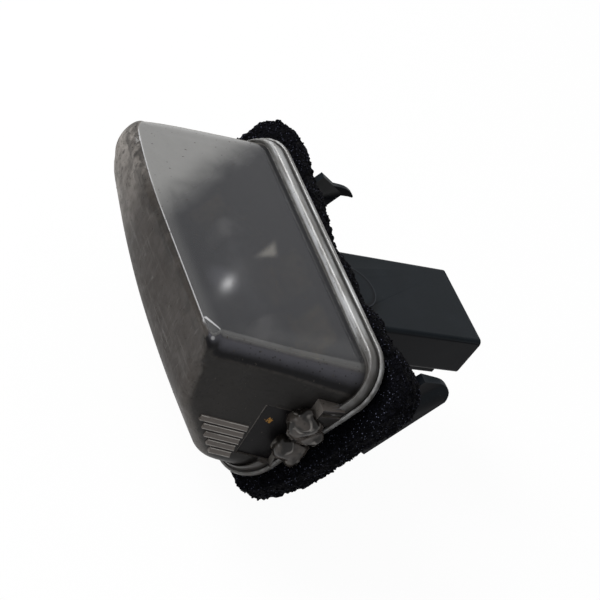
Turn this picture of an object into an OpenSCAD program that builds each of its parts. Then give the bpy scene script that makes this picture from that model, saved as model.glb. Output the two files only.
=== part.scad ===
// Number plate lamp: a clear moulded lens on a black housing with a moulded plug socket,
// a foam seal behind its flange, and a festoon bulb held between two spring contacts.
//
// The row's frame: +Z is up on the tilted lamp, +Y runs rearwards along the plug socket,
// and the origin is the centre of the foam seal's rear face, where the lamp seats.
// The flange is tilted about X, so its own frame is drawn by on_flange(): local x is X,
// local y is across the flange, and local z points out through the lens.

/* [Flange] */
// Length of the flange and of the lens rim
flange_l = 66; // [60:0.5:72]
// Width of the flange and of the lens rim
flange_w = 35.3; // [33:0.1:40]
// Corner radius of the flange
flange_r = 8.5; // [5:0.5:12]
// Thickness of the housing's flange plate
flange_t = 1.2; // [0.8:0.1:2]
// How far the housing's flange plate stops inside the lens rim
flange_inset = 1.2; // [0.6:0.1:1.6]
// Tilt of the flange against the plug socket, in degrees
flange_tilt = 26; // [15:1:35]

/* [Foam seal] */
// Thickness of the foam seal
foam_t = 5.2; // [3:0.1:8]
// Overhang of the seal past the flange at the ribbed end
foam_near_out = 3.5; // [2.5:0.1:6]
// Overhang of the seal past the flange at the rounded end
foam_far_out = 4.1; // [2.5:0.1:6]
// Overhang of the seal past the flange on the window side
foam_up_out = 0.55; // [0.3:0.05:3]
// How far the seal's lower edge stays inside the flange
foam_down_in = 0.65; // [-2:0.05:0.9]
// Corner radius of the seal
foam_r = 6; // [3:0.5:8]
// Extra reach of the seal at its two upper corners
ear_h = 1.1; // [0:0.1:2.5]
// Depth of the shallow waist in the seal's upper edge
waist_depth = 1.9; // [0.5:0.1:2.4]
// Place of the waist along the seal
waist_x = -4.5; // [-12:0.5:10]
// How far the seal is cut in at its lower near corner
foam_cut = 3.6; // [0:0.1:3.8]
// Gap between the seal's opening and the tub
foam_gap = 0.5; // [0.2:0.1:1]

/* [Lens] */
// Thickness of the lens's outer lip
lip_t = 1.0; // [0.6:0.1:2]
// Width of the lip outside the bead
lip_w = 0.8; // [0.6:0.1:1.2]
// Height of the bead above the lip
bead_h = 1.5; // [0.8:0.1:2.5]
// Wall thickness of the lens
lens_wall = 2.0; // [1.2:0.1:2.8]
// Width of the rim outside the lens body at the ribbed end
near_rim = 1.9; // [1.4:0.1:4]
// Width of the rim outside the lens body at the rounded end
far_rim = 1.3; // [1.3:0.1:4]
// Width of the rim outside the window face
window_rim = 2.55; // [2.2:0.05:4]
// Width of the rim outside the lower wall
lower_rim = 2.05; // [1.8:0.05:4]
// Height of the ridge above the lip
ridge_h = 28.7; // [24:0.1:34]
// Place of the ridge across the lens
ridge_y = 0.6; // [-3:0.1:3]
// Height of the shoulder between the outer face and the flank
shoulder_h = 20.1; // [17:0.1:22]
// How far the shoulder stands in from the lower wall's foot
shoulder_in = 3.95; // [2:0.05:7]
// Height at which the lower wall turns into the flank
flank_h = 6.5; // [5:0.1:12]
// How far that turn stands out from the lower wall's foot
flank_out = 2.25; // [0:0.05:2.5]
// Draft of the ribbed end of the lens, in degrees
near_draft = 12; // [6:0.5:15]
// Draft of the rounded end of the lens, in degrees
far_draft = 3.7; // [2:0.1:8]
// Corner radius of the lens body at its foot
foot_r = 5.5; // [4:0.1:7]
// Outward bow of the flank along the lamp
flank_bow = 1.35; // [0:0.05:2]
// Inward lean of the flank at the rounded end
far_lean = 4.1; // [0:0.1:4.5]
// Fullness of the outer face at the rounded end
far_full = 3.0; // [0:0.1:3.5]
// Drop of the ridge at the rounded end
ridge_drop = 2.7; // [0:0.1:4]
// Radius of the edge between the window and the ribbed end
near_edge_r = 4.2; // [2:0.1:5]
// Pitch of the moulded ribs on the ribbed end
rib_pitch = 1.6; // [1.2:0.1:2]
// Number of moulded ribs
rib_count = 5; // [2:1:6]
// Height of a moulded rib
rib_h = 0.45; // [0.2:0.05:0.8]
// Depth of the flat pad beside the ribs
pad_depth = 0.35; // [0.1:0.05:0.6]
// Height of the slotted block on the lens's rim
latch_w = 3.8; // [3:0.1:5]

/* [Housing] */
// How far the tub's ends stand in from the flange's edge
tub_end_in = 3.3; // [3.1:0.1:6]
// How far the tub's sides stand in from the flange's edge
tub_side_in = 4.05; // [3.75:0.05:6]
// Corner radius of the tub
tub_r = 5; // [3:0.5:8]
// Wall thickness of the tub
tub_wall = 1.6; // [1.2:0.1:2.2]
// Depth of the tub's floor behind the seating plane, inside
tub_floor = 3.5; // [2:0.1:6]
// Thickness of the tub's floor
floor_t = 2; // [1.6:0.1:3]

/* [Plug socket] */
// Width of the plug socket
socket_w = 20.2; // [19.6:0.1:24]
// Height of the plug socket
socket_h = 9.4; // [8.6:0.1:12]
// Height of the socket's centre above the seating centre
socket_z = 4.7; // [3:0.1:6]
// How far the socket's mouth lies behind the seating centre
socket_y = 40.4; // [36:0.1:46]
// Wall of the socket
socket_wall = 1.4; // [1:0.1:1.8]
// Depth of the socket's cavity
socket_depth = 14; // [12:0.5:18]
// Edge radius of the socket
socket_r = 1; // [0.5:0.1:2]
// Height of the guide rail under the socket
rail_h = 0.9; // [0.5:0.1:1.5]

/* [Mounting hooks] */
// Thickness of the panel that the lamp clips into, with the seal pressed
panel_t = 2.2; // [2.1:0.1:3]
// Distance of the far hook's middle from the tub's end
far_hook_in = 6.7; // [5:0.1:12]
// Thickness of a hook's web
hook_t = 1.4; // [1:0.1:2]
// Height of the near hook's top above the tub's upper edge
near_hook_up = 4.7; // [3:0.1:6]
// Height of the far hook's top above the tub's upper edge
far_hook_up = 2.7; // [2.5:0.1:5]
// Reach of the near hook's nose behind the seating centre
near_hook_y = 18.6; // [17:0.1:21]
// Reach of the far hook's nose behind the seating centre
far_hook_y = 19.9; // [18:0.1:22]
// Width of each catch on the lower side of the tub
catch_w = 7; // [4:0.5:10]

/* [Bulb and contacts] */
// Radius of the bulb's glass
glass_r = 5; // [4:0.1:5.5]
// Overall length of the bulb between its cap tips
bulb_l = 36; // [35:0.5:41]
// Radius of a bulb cap
cap_r = 4.25; // [3.9:0.05:4.4]
// Height of the bulb's axis above the seating plane
bulb_z = 9.5; // [8:0.1:11]
// Thickness of a contact spring
spring_t = 0.5; // [0.3:0.05:0.8]
// Width of a contact spring
spring_w = 7; // [6:0.1:9]
// Thickness of a terminal strip and its blade
strip_t = 0.8; // [0.6:0.1:1]
// Width of a terminal blade
blade_w = 4.8; // [4:0.1:5]
// Distance of a blade's middle from the socket's middle
blade_x = 4.6; // [4.5:0.1:5]
// How far the blades stop short of the socket's mouth
blade_recess = 4.6; // [4.3:0.1:6]
// Radius of a rivet's shank
rivet_r = 1.2; // [0.8:0.1:1.5]
// Clearance of a part pressed into the housing
press_gap = 0.05; // [0.02:0.01:0.1]

/* [Glue] */
// Radius of the main lump of glue
glue_r = 3.1; // [2.4:0.1:3.3]

/* [Hidden] */
$fn = 64;

// Lens body, tub and seal, all measured in from the flange's edge
near_l = flange_l / 2 - near_rim;
far_l = flange_l / 2 - far_rim;
window_y = flange_w / 2 - window_rim;
lower_y = flange_w / 2 - lower_rim;
shoulder_y = lower_y - shoulder_in;
flank_y = lower_y + flank_out;
tub_l = flange_l - 2 * tub_end_in;
tub_w = flange_w - 2 * tub_side_in;
foam_near = flange_l / 2 + foam_near_out;
foam_far = flange_l / 2 + foam_far_out;
foam_up = flange_w / 2 + foam_up_out;
foam_down = flange_w / 2 - foam_down_in;
near_hook_x = tub_l / 2;
near_hook_z = tub_w / 2 * cos(flange_tilt) + near_hook_up;
far_hook_z = tub_w / 2 * cos(flange_tilt) + far_hook_up;
far_hook_x = far_hook_in - tub_l / 2;

// Levels in the flange's frame
flange_z = foam_t;
rim_z = flange_z + flange_t;
lip_z = rim_z + lip_t;
floor_z = -tub_floor;
back_z = floor_z - floor_t;

// The lens's profile across the flange, as [reach, height above the lip]
near_slope = tan(near_draft);
far_slope = tan(far_draft);
far_slant = 0.53;
window_slant = 1.12;
profile_soft = 1.6;
ridge_cap = 0.4;
arc_steps = 5;
side_steps = 10;
layer_steps = 18;
cavity_steps = 11;

// Top radii of the four upright edges: near and far on the window side, far and near
// on the outer side
edge_r = [near_edge_r, 3.0, 5.0, 3.0];

// Radii to which the ridge's two ends are rounded off, and the place and spread of the
// fullness at the rounded end
near_round = near_edge_r;
far_round = 7.5;
full_h = 0.871 * ridge_h;
full_spread = 3.97;

// The tub's cavity and the seal's opening
cavity_l = tub_l - 2 * tub_wall;
cavity_w = tub_w - 2 * tub_wall;
cavity_r = tub_r - tub_wall;

// The bulb along X from its middle
cap_l = 7.8;
cap_x = bulb_l / 2 - cap_l;
cone_l = 4;
cone_x = bulb_l / 2 - cone_l;
tip_r = 1.2;
neck_r = cap_r - 0.45;
neck_l = 2.6;
glass_wall = 0.7;
lead_r = 0.25;
filament_l = 9;
filament_r = 0.6;
solder_h = 0.6;
hole_r = 2.3;
cone_slope = (cap_r - tip_r) / cone_l;
spring_x = cone_x + (cap_r - hole_r) / cone_slope + 0.04;
spring_top = bulb_z + 3.8;
foot_l = 7.2;
rivet_x = spring_x - 4.6;
rivet_head_r = 2;
rivet_head_h = 0.7;
strip_z = floor_z + strip_t;
foot_z = strip_z + spring_t;
strip_w = 7.4;
tab_up = (socket_z + strip_t / 2 + sin(flange_tilt) * tub_floor) / cos(flange_tilt);

// Shoulder plane behind which the hooks reach out
shoulder_z = -panel_t;
web_rear_near = 11.3;
web_rear_far = 9.6;

module on_flange() {
    rotate([90 - flange_tilt, 0, 0]) children();
}

// Frame of the plug socket: local z points back out of the lens, along -Y
module on_socket() {
    rotate([90, 0, 0]) children();
}

module rounded_rect(l, w, r) {
    square([l - 2 * r, w], center = true);
    square([l, w - 2 * r], center = true);
    for (sx = [-1, 1], sy = [-1, 1])
        translate([sx * (l / 2 - r), sy * (w / 2 - r)]) circle(r = r);
}

module plate(l, w, r, z0, z1) {
    translate([0, 0, z0]) linear_extrude(z1 - z0) rounded_rect(l, w, r);
}

// Reach of the lens's lower side at a height, before it is softened
function lower_line(h) =
    h <= 0 ? -lower_y :
    h <= flank_h ? -lower_y - (flank_y - lower_y) * h / flank_h :
    h <= shoulder_h ? -flank_y + (flank_y - shoulder_y) * (h - flank_h) / (shoulder_h - flank_h) :
    -shoulder_y + (shoulder_y + ridge_y) * (h - shoulder_h) / (ridge_h - shoulder_h);

// The same, averaged over a short height so that its turns are round
function lower_side(h) =
    let (d = min(profile_soft, max(0, ridge_h - h)))
    (lower_line(h - d) + lower_line(h - d / 2) + lower_line(h) + lower_line(h + d / 2)
        + lower_line(h + d)) / 5;

function window_side(h) = window_y + (ridge_y - window_y) * h / ridge_h;

// How far an edge of radius r draws a level's end in where the level is narrower than r
function drawn_in(r, span) = r * (1 - sqrt(1 - pow(1 - min(1, max(0, span) / r), 2)));

// Limits of one level of the lens, drawn in by a wall t: [near, far, window, lower]
function level_box(h, t) =
    let (window = window_side(h) - window_slant * t,
        lower = lower_side(h + far_slant * t) + t)
    [near_l - near_slope * h - t - drawn_in(near_round - 0.5 * t, window - lower),
        -far_l + far_slope * h + t + drawn_in(far_round - 0.5 * t, window - lower),
        window, lower];

// Upright edge radii at a height, limited by the level's own width
function level_radii(h, t, span) =
    let (k = min(1, h / ridge_h),
        fast = min(1, 2.1 * k),
        near_up = min(foot_r + (edge_r[0] - foot_r) * fast - 0.5 * t, 0.68 * span),
        far_up = min(foot_r + (edge_r[1] - foot_r) * k - 0.5 * t, 0.49 * span),
        far_down = min(foot_r + (edge_r[2] - foot_r) * k - 0.5 * t, 0.98 * span - far_up),
        near_down = min(foot_r + (edge_r[3] - foot_r) * fast - 0.5 * t, 0.98 * span - near_up))
    [for (q = [near_up, far_up, far_down, near_down]) max(0.05, q)];

function arc_points(cx, cy, r, a0) =
    [for (k = [0:arc_steps]) let (a = a0 + 90 * k / arc_steps) [cx + r * cos(a), cy + r * sin(a)]];

function between(p, q) =
    [for (k = [1:side_steps - 1]) p + (q - p) * k / side_steps];

// One closed level, from the near end round by the window side
function level_outline(h, t) =
    let (b = level_box(h, t), r = level_radii(h, t, b[2] - b[3]),
        near_up = arc_points(b[0] - r[0], b[2] - r[0], r[0], 0),
        far_up = arc_points(b[1] + r[1], b[2] - r[1], r[1], 90),
        far_down = arc_points(b[1] + r[2], b[3] + r[2], r[2], 180),
        near_down = arc_points(b[0] - r[3], b[3] + r[3], r[3], 270))
    concat(near_up, between(near_up[arc_steps], far_up[0]), far_up,
        far_down, between(far_down[arc_steps], near_down[0]), near_down);

// Bow, lean and fullness of the flank, and the ridge's drop, at one point of a level
function shaped(p, h, b) =
    let (k = min(1, h / ridge_h),
        g = sin(180 * k),
        mid = (b[0] + b[1]) / 2,
        half = (b[0] - b[1]) / 2,
        across = min(1, max(0, (b[2] - p[1]) / max(0.1, b[2] - b[3]))),
        q = (b[0] - p[0]) / (b[0] - b[1]),
        bow = flank_bow * g * (1 - pow((p[0] - mid) / half, 2)) * pow(across, 1.5),
        lean = far_lean * g * across * q * q,
        full = far_full * exp(-pow((h - full_h) / full_spread, 2)) * across * q * q,
        y = p[1] - bow + lean - full,
        from_mid = max(0, -4 - p[0]) / (far_l - 4),
        s = 1 - ridge_drop * pow(from_mid, 2) / ridge_h * pow(k, 5))
    [p[0], window_y + (y - window_y) * s, h * s];

function level_points(h, t) =
    let (b = level_box(h, t)) [for (p = level_outline(h, t)) shaped(p, h, b)];

// A closed body from a list of levels with the same number of points each
module loft(levels) {
    n = len(levels[0]);
    last = len(levels) - 1;
    points = [for (level = levels) each level];
    sides = [for (i = [0:last - 1], j = [0:n - 1])
        let (a = i * n + j, b = i * n + (j + 1) % n)
        each [[a, b + n, b], [a, a + n, b + n]]];
    foot = [for (j = [0:n / 2 - 2]) each [[j, j + 1, n - 2 - j], [j, n - 2 - j, n - 1 - j]]];
    top = [for (j = [0:n / 2 - 2])
        let (o = last * n)
        each [[o + j, o + n - 2 - j, o + j + 1], [o + j, o + n - 1 - j, o + n - 2 - j]]];
    polyhedron(points, concat(sides, foot, top), convexity = 4);
}

// Heights of the levels: close together near the ridge
function level_heights(top, steps) = [for (k = [0:steps]) top * (1 - pow(1 - k / steps, 1.25))];

module lens_body() {
    heights = level_heights(ridge_h - ridge_cap, layer_steps);
    translate([0, 0, lip_z]) loft([for (h = heights) level_points(h, 0)]);
}

// The hollow under the lens, open at the rim
module lens_cavity() {
    top = ridge_h - ridge_cap - 1.47 * lens_wall;
    heights = level_heights(top, cavity_steps);
    translate([0, 0, lip_z]) loft([for (h = heights) level_points(h, lens_wall)]);
    plate(2 * near_l - 2 * lens_wall, window_y + lower_y - 2.3 * lens_wall, foot_r - lens_wall,
        rim_z - 1, lip_z + 0.6);
}

groove_w = 0.3;
groove_d = 0.5;
module rim_plates() {
    difference() {
        plate(flange_l, flange_w, flange_r, rim_z, lip_z);
        plate(flange_l - 2 * lip_w + 2 * groove_w, flange_w - 2 * lip_w + 2 * groove_w,
            flange_r - lip_w + groove_w, lip_z - groove_d, lip_z + 1);
    }
    plate(flange_l - 2 * lip_w, flange_w - 2 * lip_w, flange_r - lip_w, rim_z, lip_z + bead_h - 0.4);
    plate(flange_l - 2 * lip_w - 0.8, flange_w - 2 * lip_w - 0.8, flange_r - lip_w - 0.4,
        rim_z, lip_z + bead_h);
}

// Frame on the ribbed end face at a row Y and Z: local x points out of the face and
// local z runs outwards, against the row's Y
face_lean = atan(near_slope * cos(flange_tilt));
face_turn = atan(near_slope * sin(flange_tilt) * cos(face_lean));
module on_end_face(y, z) {
    above = z * sin(flange_tilt) - y * cos(flange_tilt) - lip_z;
    translate([near_l - near_slope * above, y, z])
        rotate([90, 0, 0]) rotate([0, -face_lean, 0]) rotate([0, 0, face_turn]) children();
}

rib_y = -17.1;
rib_top_z = 0.1;
rib_l = 9;
rib_step_l = 1.25;
module end_ribs() {
    for (k = [0:rib_count - 1])
        on_end_face(rib_y, rib_top_z - k * rib_pitch)
            linear_extrude(rib_l - k * rib_step_l)
                polygon([[-1, -0.9], [rib_h * 0.4, -0.7], [rib_h, 0], [rib_h * 0.6, 0.35], [-1, 0.9]]);
}

pad_y = -16.6;
pad_l = 11.7;
pad_low = -5.2;
pad_h = 11.6;
module end_pad() {
    difference() {
        on_end_face(pad_y + pad_l, pad_low) translate([-pad_depth, 0, 0]) cube([3, pad_h, pad_l]);
        on_flange() translate([0, 0, lip_z + bead_h + 0.2 - 20])
            cube([2 * flange_l, 2 * flange_l, 40], center = true);
    }
}

latch_l = 4.7;
latch_y = -8.6;
latch_z = 6.6;
latch_out = flange_l / 2 - 0.2;
module latch_solid() {
    translate([near_l - 3, latch_y, latch_z]) cube([latch_out - near_l + 3, latch_l, latch_w]);
}

module latch_block() {
    difference() {
        latch_solid();
        translate([latch_out - 1.4, latch_y + 0.3, latch_z + latch_w - 1.7]) cube([4, latch_l, 1.1]);
    }
}

module lens_outside() {
    on_flange() {
        lens_body();
        rim_plates();
    }
    above_lip() latch_block();
}

// Keeps only what stands above the lip's rear face
module above_lip() {
    difference() {
        children();
        on_flange() translate([0, 0, rim_z - 10]) cube([2 * flange_l, 2 * flange_l, 20], center = true);
    }
}

module lens() {
    color([0.62, 0.61, 0.58, 0.6]) difference() {
        union() {
            lens_outside();
            end_ribs();
        }
        on_flange() lens_cavity();
        end_pad();
    }
}

// Nose of a hook: a flat finger along Y whose face at x_face is in line with its web and
// whose back draws in towards the tip; profile holds its Y and Z from the tip and the top
module hook_nose(x_face, wide, thin, y_tip, z_top, profile) {
    y_root = 6;
    drop = profile[len(profile) - 1][1];
    intersection() {
        translate([x_face - wide, 0, 0]) rotate([90, 0, 90]) linear_extrude(wide)
            polygon(concat([[y_root, z_top + drop], [y_root, z_top]],
                [for (q = profile) [y_tip + q[0], z_top + q[1]]]));
        translate([x_face, 0, z_top + drop - 3]) linear_extrude(6 - drop)
            polygon([[-wide, y_root], [0, y_root], [0, y_tip + 1], [-thin, y_tip + 1]]);
    }
}

module behind_panel() {
    difference() {
        children();
        on_flange() translate([0, 0, shoulder_z + 20]) cube([2 * flange_l, 3 * flange_w, 40], center = true);
    }
}

web_low = 1.5;
near_nose_t = 2.8;
near_tip_t = 0.6;
far_tip_t = 0.7;
near_profile = [[-4.3, 0], [-3.4, -0.15], [-2.55, -0.55], [-1.7, -1.15], [-1, -1.9], [-0.45, -2.8],
    [-0.1, -3.8], [0, -4.6], [-0.2, -5], [-6.3, -5.4]];
far_profile = [[-3.9, 0], [-2.9, -0.1], [-1.9, -0.4], [-1, -0.85], [-0.35, -1.35], [-0.02, -1.75],
    [-0.1, -2], [-1.2, -1.9], [-3, -2], [-7.5, -2.9]];
module near_hook() {
    behind_panel() {
        hook_nose(near_hook_x, near_nose_t, near_tip_t, near_hook_y, near_hook_z, near_profile);
        on_flange() translate([near_hook_x - hook_t, web_low, -web_rear_near])
            cube([hook_t, tub_w / 2 + 5.2 - web_low, web_rear_near]);
    }
    on_flange() translate([near_hook_x - hook_t, web_low, -web_rear_near])
        cube([hook_t, tub_w / 2 - tub_r - web_low, web_rear_near]);
}

module far_hook() {
    behind_panel() {
        hook_nose(far_hook_x + hook_t / 2, hook_t, far_tip_t, far_hook_y, far_hook_z, far_profile);
        on_flange() translate([far_hook_x - hook_t / 2, tub_w / 2 - 2, -web_rear_far])
            cube([hook_t, 7.9, web_rear_far]);
    }
}

// Wedge catches on the lower side, past which the panel's edge snaps
catch_out = 1.6;
catch_h = 5.4;
catch_x = 17;
module lower_catches() {
    for (s = [-1, 1])
        on_flange() translate([s * catch_x - catch_w / 2, 0, 0]) rotate([90, 0, 90])
            linear_extrude(catch_w) polygon([
                [-tub_w / 2 + 0.5, shoulder_z], [-tub_w / 2 - catch_out, shoulder_z],
                [-tub_w / 2, shoulder_z - catch_h + 2.2], [-tub_w / 2 + 0.5, shoulder_z - catch_h + 2.2]]);
}

boss_r = 5.5;
boss_x = 0.6;
boss_y = 11.3;
boss_up = 1;
module socket_outside() {
    on_socket() translate([0, socket_z, -socket_y])
        linear_extrude(socket_y - 2) rounded_rect(socket_w, socket_h, socket_r);
    translate([boss_x, boss_y, socket_z]) cylinder(r = boss_r, h = socket_h / 2 + boss_up);
}

rail_w = 5;
rail_end = 5.2;
module guide_rail() {
    translate([socket_w / 2 - rail_w - 0.6, 8, socket_z - socket_h / 2 - rail_h])
        cube([rail_w, socket_y - rail_end - 8, rail_h + 0.5]);
}

module socket_cavity() {
    on_socket() translate([0, socket_z, -socket_y - 1])
        linear_extrude(socket_depth + 1)
            rounded_rect(socket_w - 2 * socket_wall, socket_h - 2 * socket_wall, 0.5);
}

// Window in the underside that the plug's latch springs into
window_w = 6;
window_l = 3;
module latch_window() {
    translate([-window_w / 2, socket_y - 7.5, socket_z - socket_h / 2 - 1])
        cube([window_w, window_l, socket_wall + 1.2]);
}

// Blade of a terminal strip, from the tub's floor to the socket, wider by a gap g
module blade(side, g, y_end) {
    difference() {
        translate([side * blade_x - blade_w / 2 - g, 0, socket_z - strip_t / 2 - g])
            cube([blade_w + 2 * g, y_end, strip_t + 2 * g]);
        on_flange() translate([0, 0, strip_z + 20]) cube([2 * flange_l, 2 * flange_l, 40], center = true);
    }
}

module housing() {
    color([0.13, 0.135, 0.15]) difference() {
        union() {
            on_flange() {
                plate(flange_l - 2 * flange_inset, flange_w - 2 * flange_inset,
                    flange_r - flange_inset, flange_z, rim_z);
                plate(tub_l, tub_w, tub_r, back_z, rim_z);
            }
            socket_outside();
            guide_rail();
            near_hook();
            far_hook();
            lower_catches();
        }
        on_flange() {
            plate(cavity_l, cavity_w, cavity_r, floor_z, rim_z + 1);
            for (s = [-1, 1])
                translate([s * rivet_x, 0, floor_z - rivet_head_h - press_gap])
                    cylinder(r = rivet_head_r + press_gap, h = rivet_head_h + 1);
        }
        socket_cavity();
        latch_window();
        for (s = [-1, 1]) blade(s, press_gap, socket_y - blade_recess);
    }
}

// Points of a closed outline whose corners, given as [x, y, radius], are rounded
function unit(v) = v / norm(v);
function round_corner(p, q, r, radius) =
    let (a = unit(p - q), b = unit(r - q),
        half = acos(max(-1, min(1, a * b))) / 2,
        reach = radius / tan(half),
        from = q + a * reach, to = q + b * reach,
        centre = q + unit(a + b) * radius / sin(half),
        a0 = atan2(from[1] - centre[1], from[0] - centre[0]),
        a1 = atan2(to[1] - centre[1], to[0] - centre[0]),
        turn = (a1 - a0 + 540) % 360 - 180)
    [for (k = [0:foam_steps]) centre + radius * [cos(a0 + turn * k / foam_steps), sin(a0 + turn * k / foam_steps)]];

function round_all(corners) =
    let (n = len(corners), flat = [for (c = corners) [c[0], c[1]]])
    [for (i = [0:n - 1]) each
        round_corner(flat[(i + n - 1) % n], flat[i], flat[(i + 1) % n], corners[i][2])];

// Corners of the seal from its lower near one round by the window side
foam_steps = 7;
foam_corners = [
    [foam_near - foam_cut, -foam_down, 3],
    [foam_near - 0.4, -8, 9],
    [foam_near, foam_up + ear_h, foam_r],
    [foam_near - 10, foam_up + ear_h, 6],
    [foam_near - 16, foam_up, 12],
    [waist_x + 13, foam_up, 16],
    [waist_x, foam_up - waist_depth, 12],
    [waist_x - 11, foam_up, 14],
    [waist_x - 17, foam_up, 10],
    [-foam_far + 10, foam_up + ear_h, 6],
    [-foam_far, foam_up + ear_h, foam_r],
    [-foam_far, -foam_down, foam_r]
];
module foam_seal() {
    color([0.11, 0.11, 0.12]) on_flange() difference() {
        linear_extrude(foam_t) polygon(round_all(foam_corners));
        plate(tub_l + 2 * foam_gap, tub_w + 2 * foam_gap, tub_r + foam_gap, -1, foam_t + 1);
    }
}

// Draws along the bulb's axis, from its middle towards one side
module on_bulb(side) {
    on_flange() translate([0, 0, bulb_z]) rotate([0, side * 90, 0]) children();
}

module bulb_glass() {
    end = cap_x + neck_l;
    color([0.85, 0.9, 0.92, 0.4]) on_bulb(1) difference() {
        rotate_extrude() polygon([
            [0, -end], [neck_r, -end], [neck_r, -cap_x + 0.2], [glass_r, -cap_x + 1.8],
            [glass_r, cap_x - 1.8], [neck_r, cap_x - 0.2], [neck_r, end], [0, end]]);
        rotate_extrude() polygon([
            [0, -end + 1], [neck_r - glass_wall, -end + 1], [neck_r - glass_wall, -cap_x + 0.4],
            [glass_r - glass_wall, -cap_x + 2.1], [glass_r - glass_wall, cap_x - 2.1],
            [neck_r - glass_wall, cap_x - 0.4], [neck_r - glass_wall, end - 1], [0, end - 1]]);
        translate([0, 0, -end - 1]) cylinder(r = lead_r, h = 2 * end + 2);
    }
}

module bulb_cap(side) {
    color([0.78, 0.77, 0.72]) on_bulb(side) difference() {
        rotate_extrude() polygon([
            [0, cap_x], [cap_r, cap_x], [cap_r, cone_x], [tip_r, bulb_l / 2], [0, bulb_l / 2]]);
        translate([0, 0, cap_x - 1]) cylinder(r = neck_r, h = neck_l + 1);
        cylinder(r = lead_r, h = bulb_l);
    }
}

module bulb_filament() {
    color([0.5, 0.5, 0.52]) on_bulb(1) cylinder(r = filament_r, h = filament_l, center = true);
}

module bulb_lead(side) {
    color([0.7, 0.7, 0.68]) on_bulb(side) translate([0, 0, filament_l / 2])
        cylinder(r = lead_r, h = bulb_l / 2 - filament_l / 2);
}

// A low dome of solder on the cap's tip
module bulb_solder(side) {
    dome_r = (pow(tip_r - 0.1, 2) + pow(solder_h, 2)) / (2 * solder_h);
    color([0.72, 0.72, 0.74]) on_bulb(side) intersection() {
        translate([0, 0, bulb_l / 2 + solder_h - dome_r]) sphere(r = dome_r);
        translate([0, 0, bulb_l / 2]) cylinder(r = tip_r, h = 2);
    }
}

module contact_spring(side) {
    color([0.76, 0.6, 0.34]) on_flange() mirror([side < 0 ? 1 : 0, 0, 0]) difference() {
        rotate([90, 0, 0]) linear_extrude(spring_w, center = true) polygon([
            [spring_x - foot_l, strip_z], [spring_x + spring_t, strip_z],
            [spring_x + spring_t, spring_top], [spring_x + 2.4, spring_top + 1.6],
            [spring_x + 2.4 - spring_t, spring_top + 1.9], [spring_x, spring_top],
            [spring_x, foot_z], [spring_x - foot_l, foot_z]]);
        translate([spring_x - 1, 0, bulb_z]) rotate([0, 90, 0]) cylinder(r = hole_r, h = 3);
        translate([rivet_x, 0, floor_z - 1]) cylinder(r = rivet_r, h = 6);
    }
}

module terminal_strip(side) {
    inner_x = blade_x - blade_w / 2;
    outer_x = spring_x - 1.4;
    color([0.8, 0.66, 0.36]) union() {
        on_flange() mirror([side < 0 ? 1 : 0, 0, 0]) difference() {
            union() {
                translate([rivet_x - strip_w / 2, -strip_w / 2, floor_z])
                    cube([outer_x - rivet_x + strip_w / 2, strip_w, strip_t]);
                translate([inner_x, -1, floor_z])
                    cube([rivet_x - inner_x, tab_up + 1, strip_t]);
            }
            translate([rivet_x, 0, floor_z - 1]) cylinder(r = rivet_r, h = 6);
        }
        blade(side, 0, socket_y - blade_recess);
    }
}

module rivet(side) {
    color([0.74, 0.72, 0.66]) on_flange() translate([side * rivet_x, 0, 0]) {
        translate([0, 0, floor_z - rivet_head_h]) cylinder(r = rivet_head_r, h = rivet_head_h);
        translate([0, 0, floor_z - 0.2]) cylinder(r = rivet_r, h = foot_z - floor_z + 0.4);
        translate([0, 0, foot_z]) cylinder(r = rivet_head_r, h = rivet_head_h);
    }
}

// A lump is a few blobs as [x, y, z above the lip, radius], cut to lie on the lens, the
// housing's flange and the seal
upper_blobs = [[0.4, 1.3, 3.4, glue_r], [0.9, 0.2, 0.6, glue_r - 0.5], [0.5, -0.4, 2.4, glue_r - 0.9]];
lower_blobs = [[0.4, -4.9, 1.3, glue_r - 0.4], [1.2, -4.7, -1.1, glue_r - 0.9], [1.1, -3.1, -0.5, glue_r - 1.1]];

module blobs(list) {
    on_flange() for (b = list) translate([near_l + b[0], b[1], lip_z + b[2]]) sphere(r = b[3]);
}

module off_lamp() {
    lens_outside();
    latch_solid();
    on_flange() {
        plate(flange_l - 2 * flange_inset, flange_w - 2 * flange_inset,
            flange_r - flange_inset, flange_z - 1, rim_z + 0.1);
        translate([0, 0, flange_z - 10]) cube([3 * flange_l, 3 * flange_l, 20], center = true);
    }
}

module glue_lump_upper() {
    color([0.6, 0.58, 0.54, 0.75]) difference() {
        blobs(upper_blobs);
        off_lamp();
    }
}

module glue_lump_lower() {
    color([0.6, 0.58, 0.54, 0.75]) difference() {
        blobs(lower_blobs);
        blobs(upper_blobs);
        off_lamp();
    }
}

lens();
housing();
foam_seal();
bulb_glass();
bulb_cap(-1);  // bulb_cap_left
bulb_cap(1);  // bulb_cap_right
bulb_filament();
bulb_lead(-1);  // bulb_lead_left
bulb_lead(1);  // bulb_lead_right
bulb_solder(-1);  // bulb_solder_left
bulb_solder(1);  // bulb_solder_right
contact_spring(-1);  // contact_spring_left
contact_spring(1);  // contact_spring_right
terminal_strip(-1);  // terminal_strip_left
terminal_strip(1);  // terminal_strip_right
rivet(-1);  // rivet_left
rivet(1);  // rivet_right
glue_lump_upper();
glue_lump_lower();
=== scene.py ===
"""Looks of a number plate lamp.

A dirty clear lens with a silvery rim stands on a black moulded housing. A gritty foam seal
lies behind its flange, and a festoon bulb on brass contacts shows dimly through the plastic.
"""

import logging
import math
from dataclasses import dataclass
from enum import Enum
from functools import cached_property
from typing import Any, Iterable, Sequence

import bmesh
import bpy
import numpy as np
from mathutils import Matrix, Vector, noise


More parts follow.
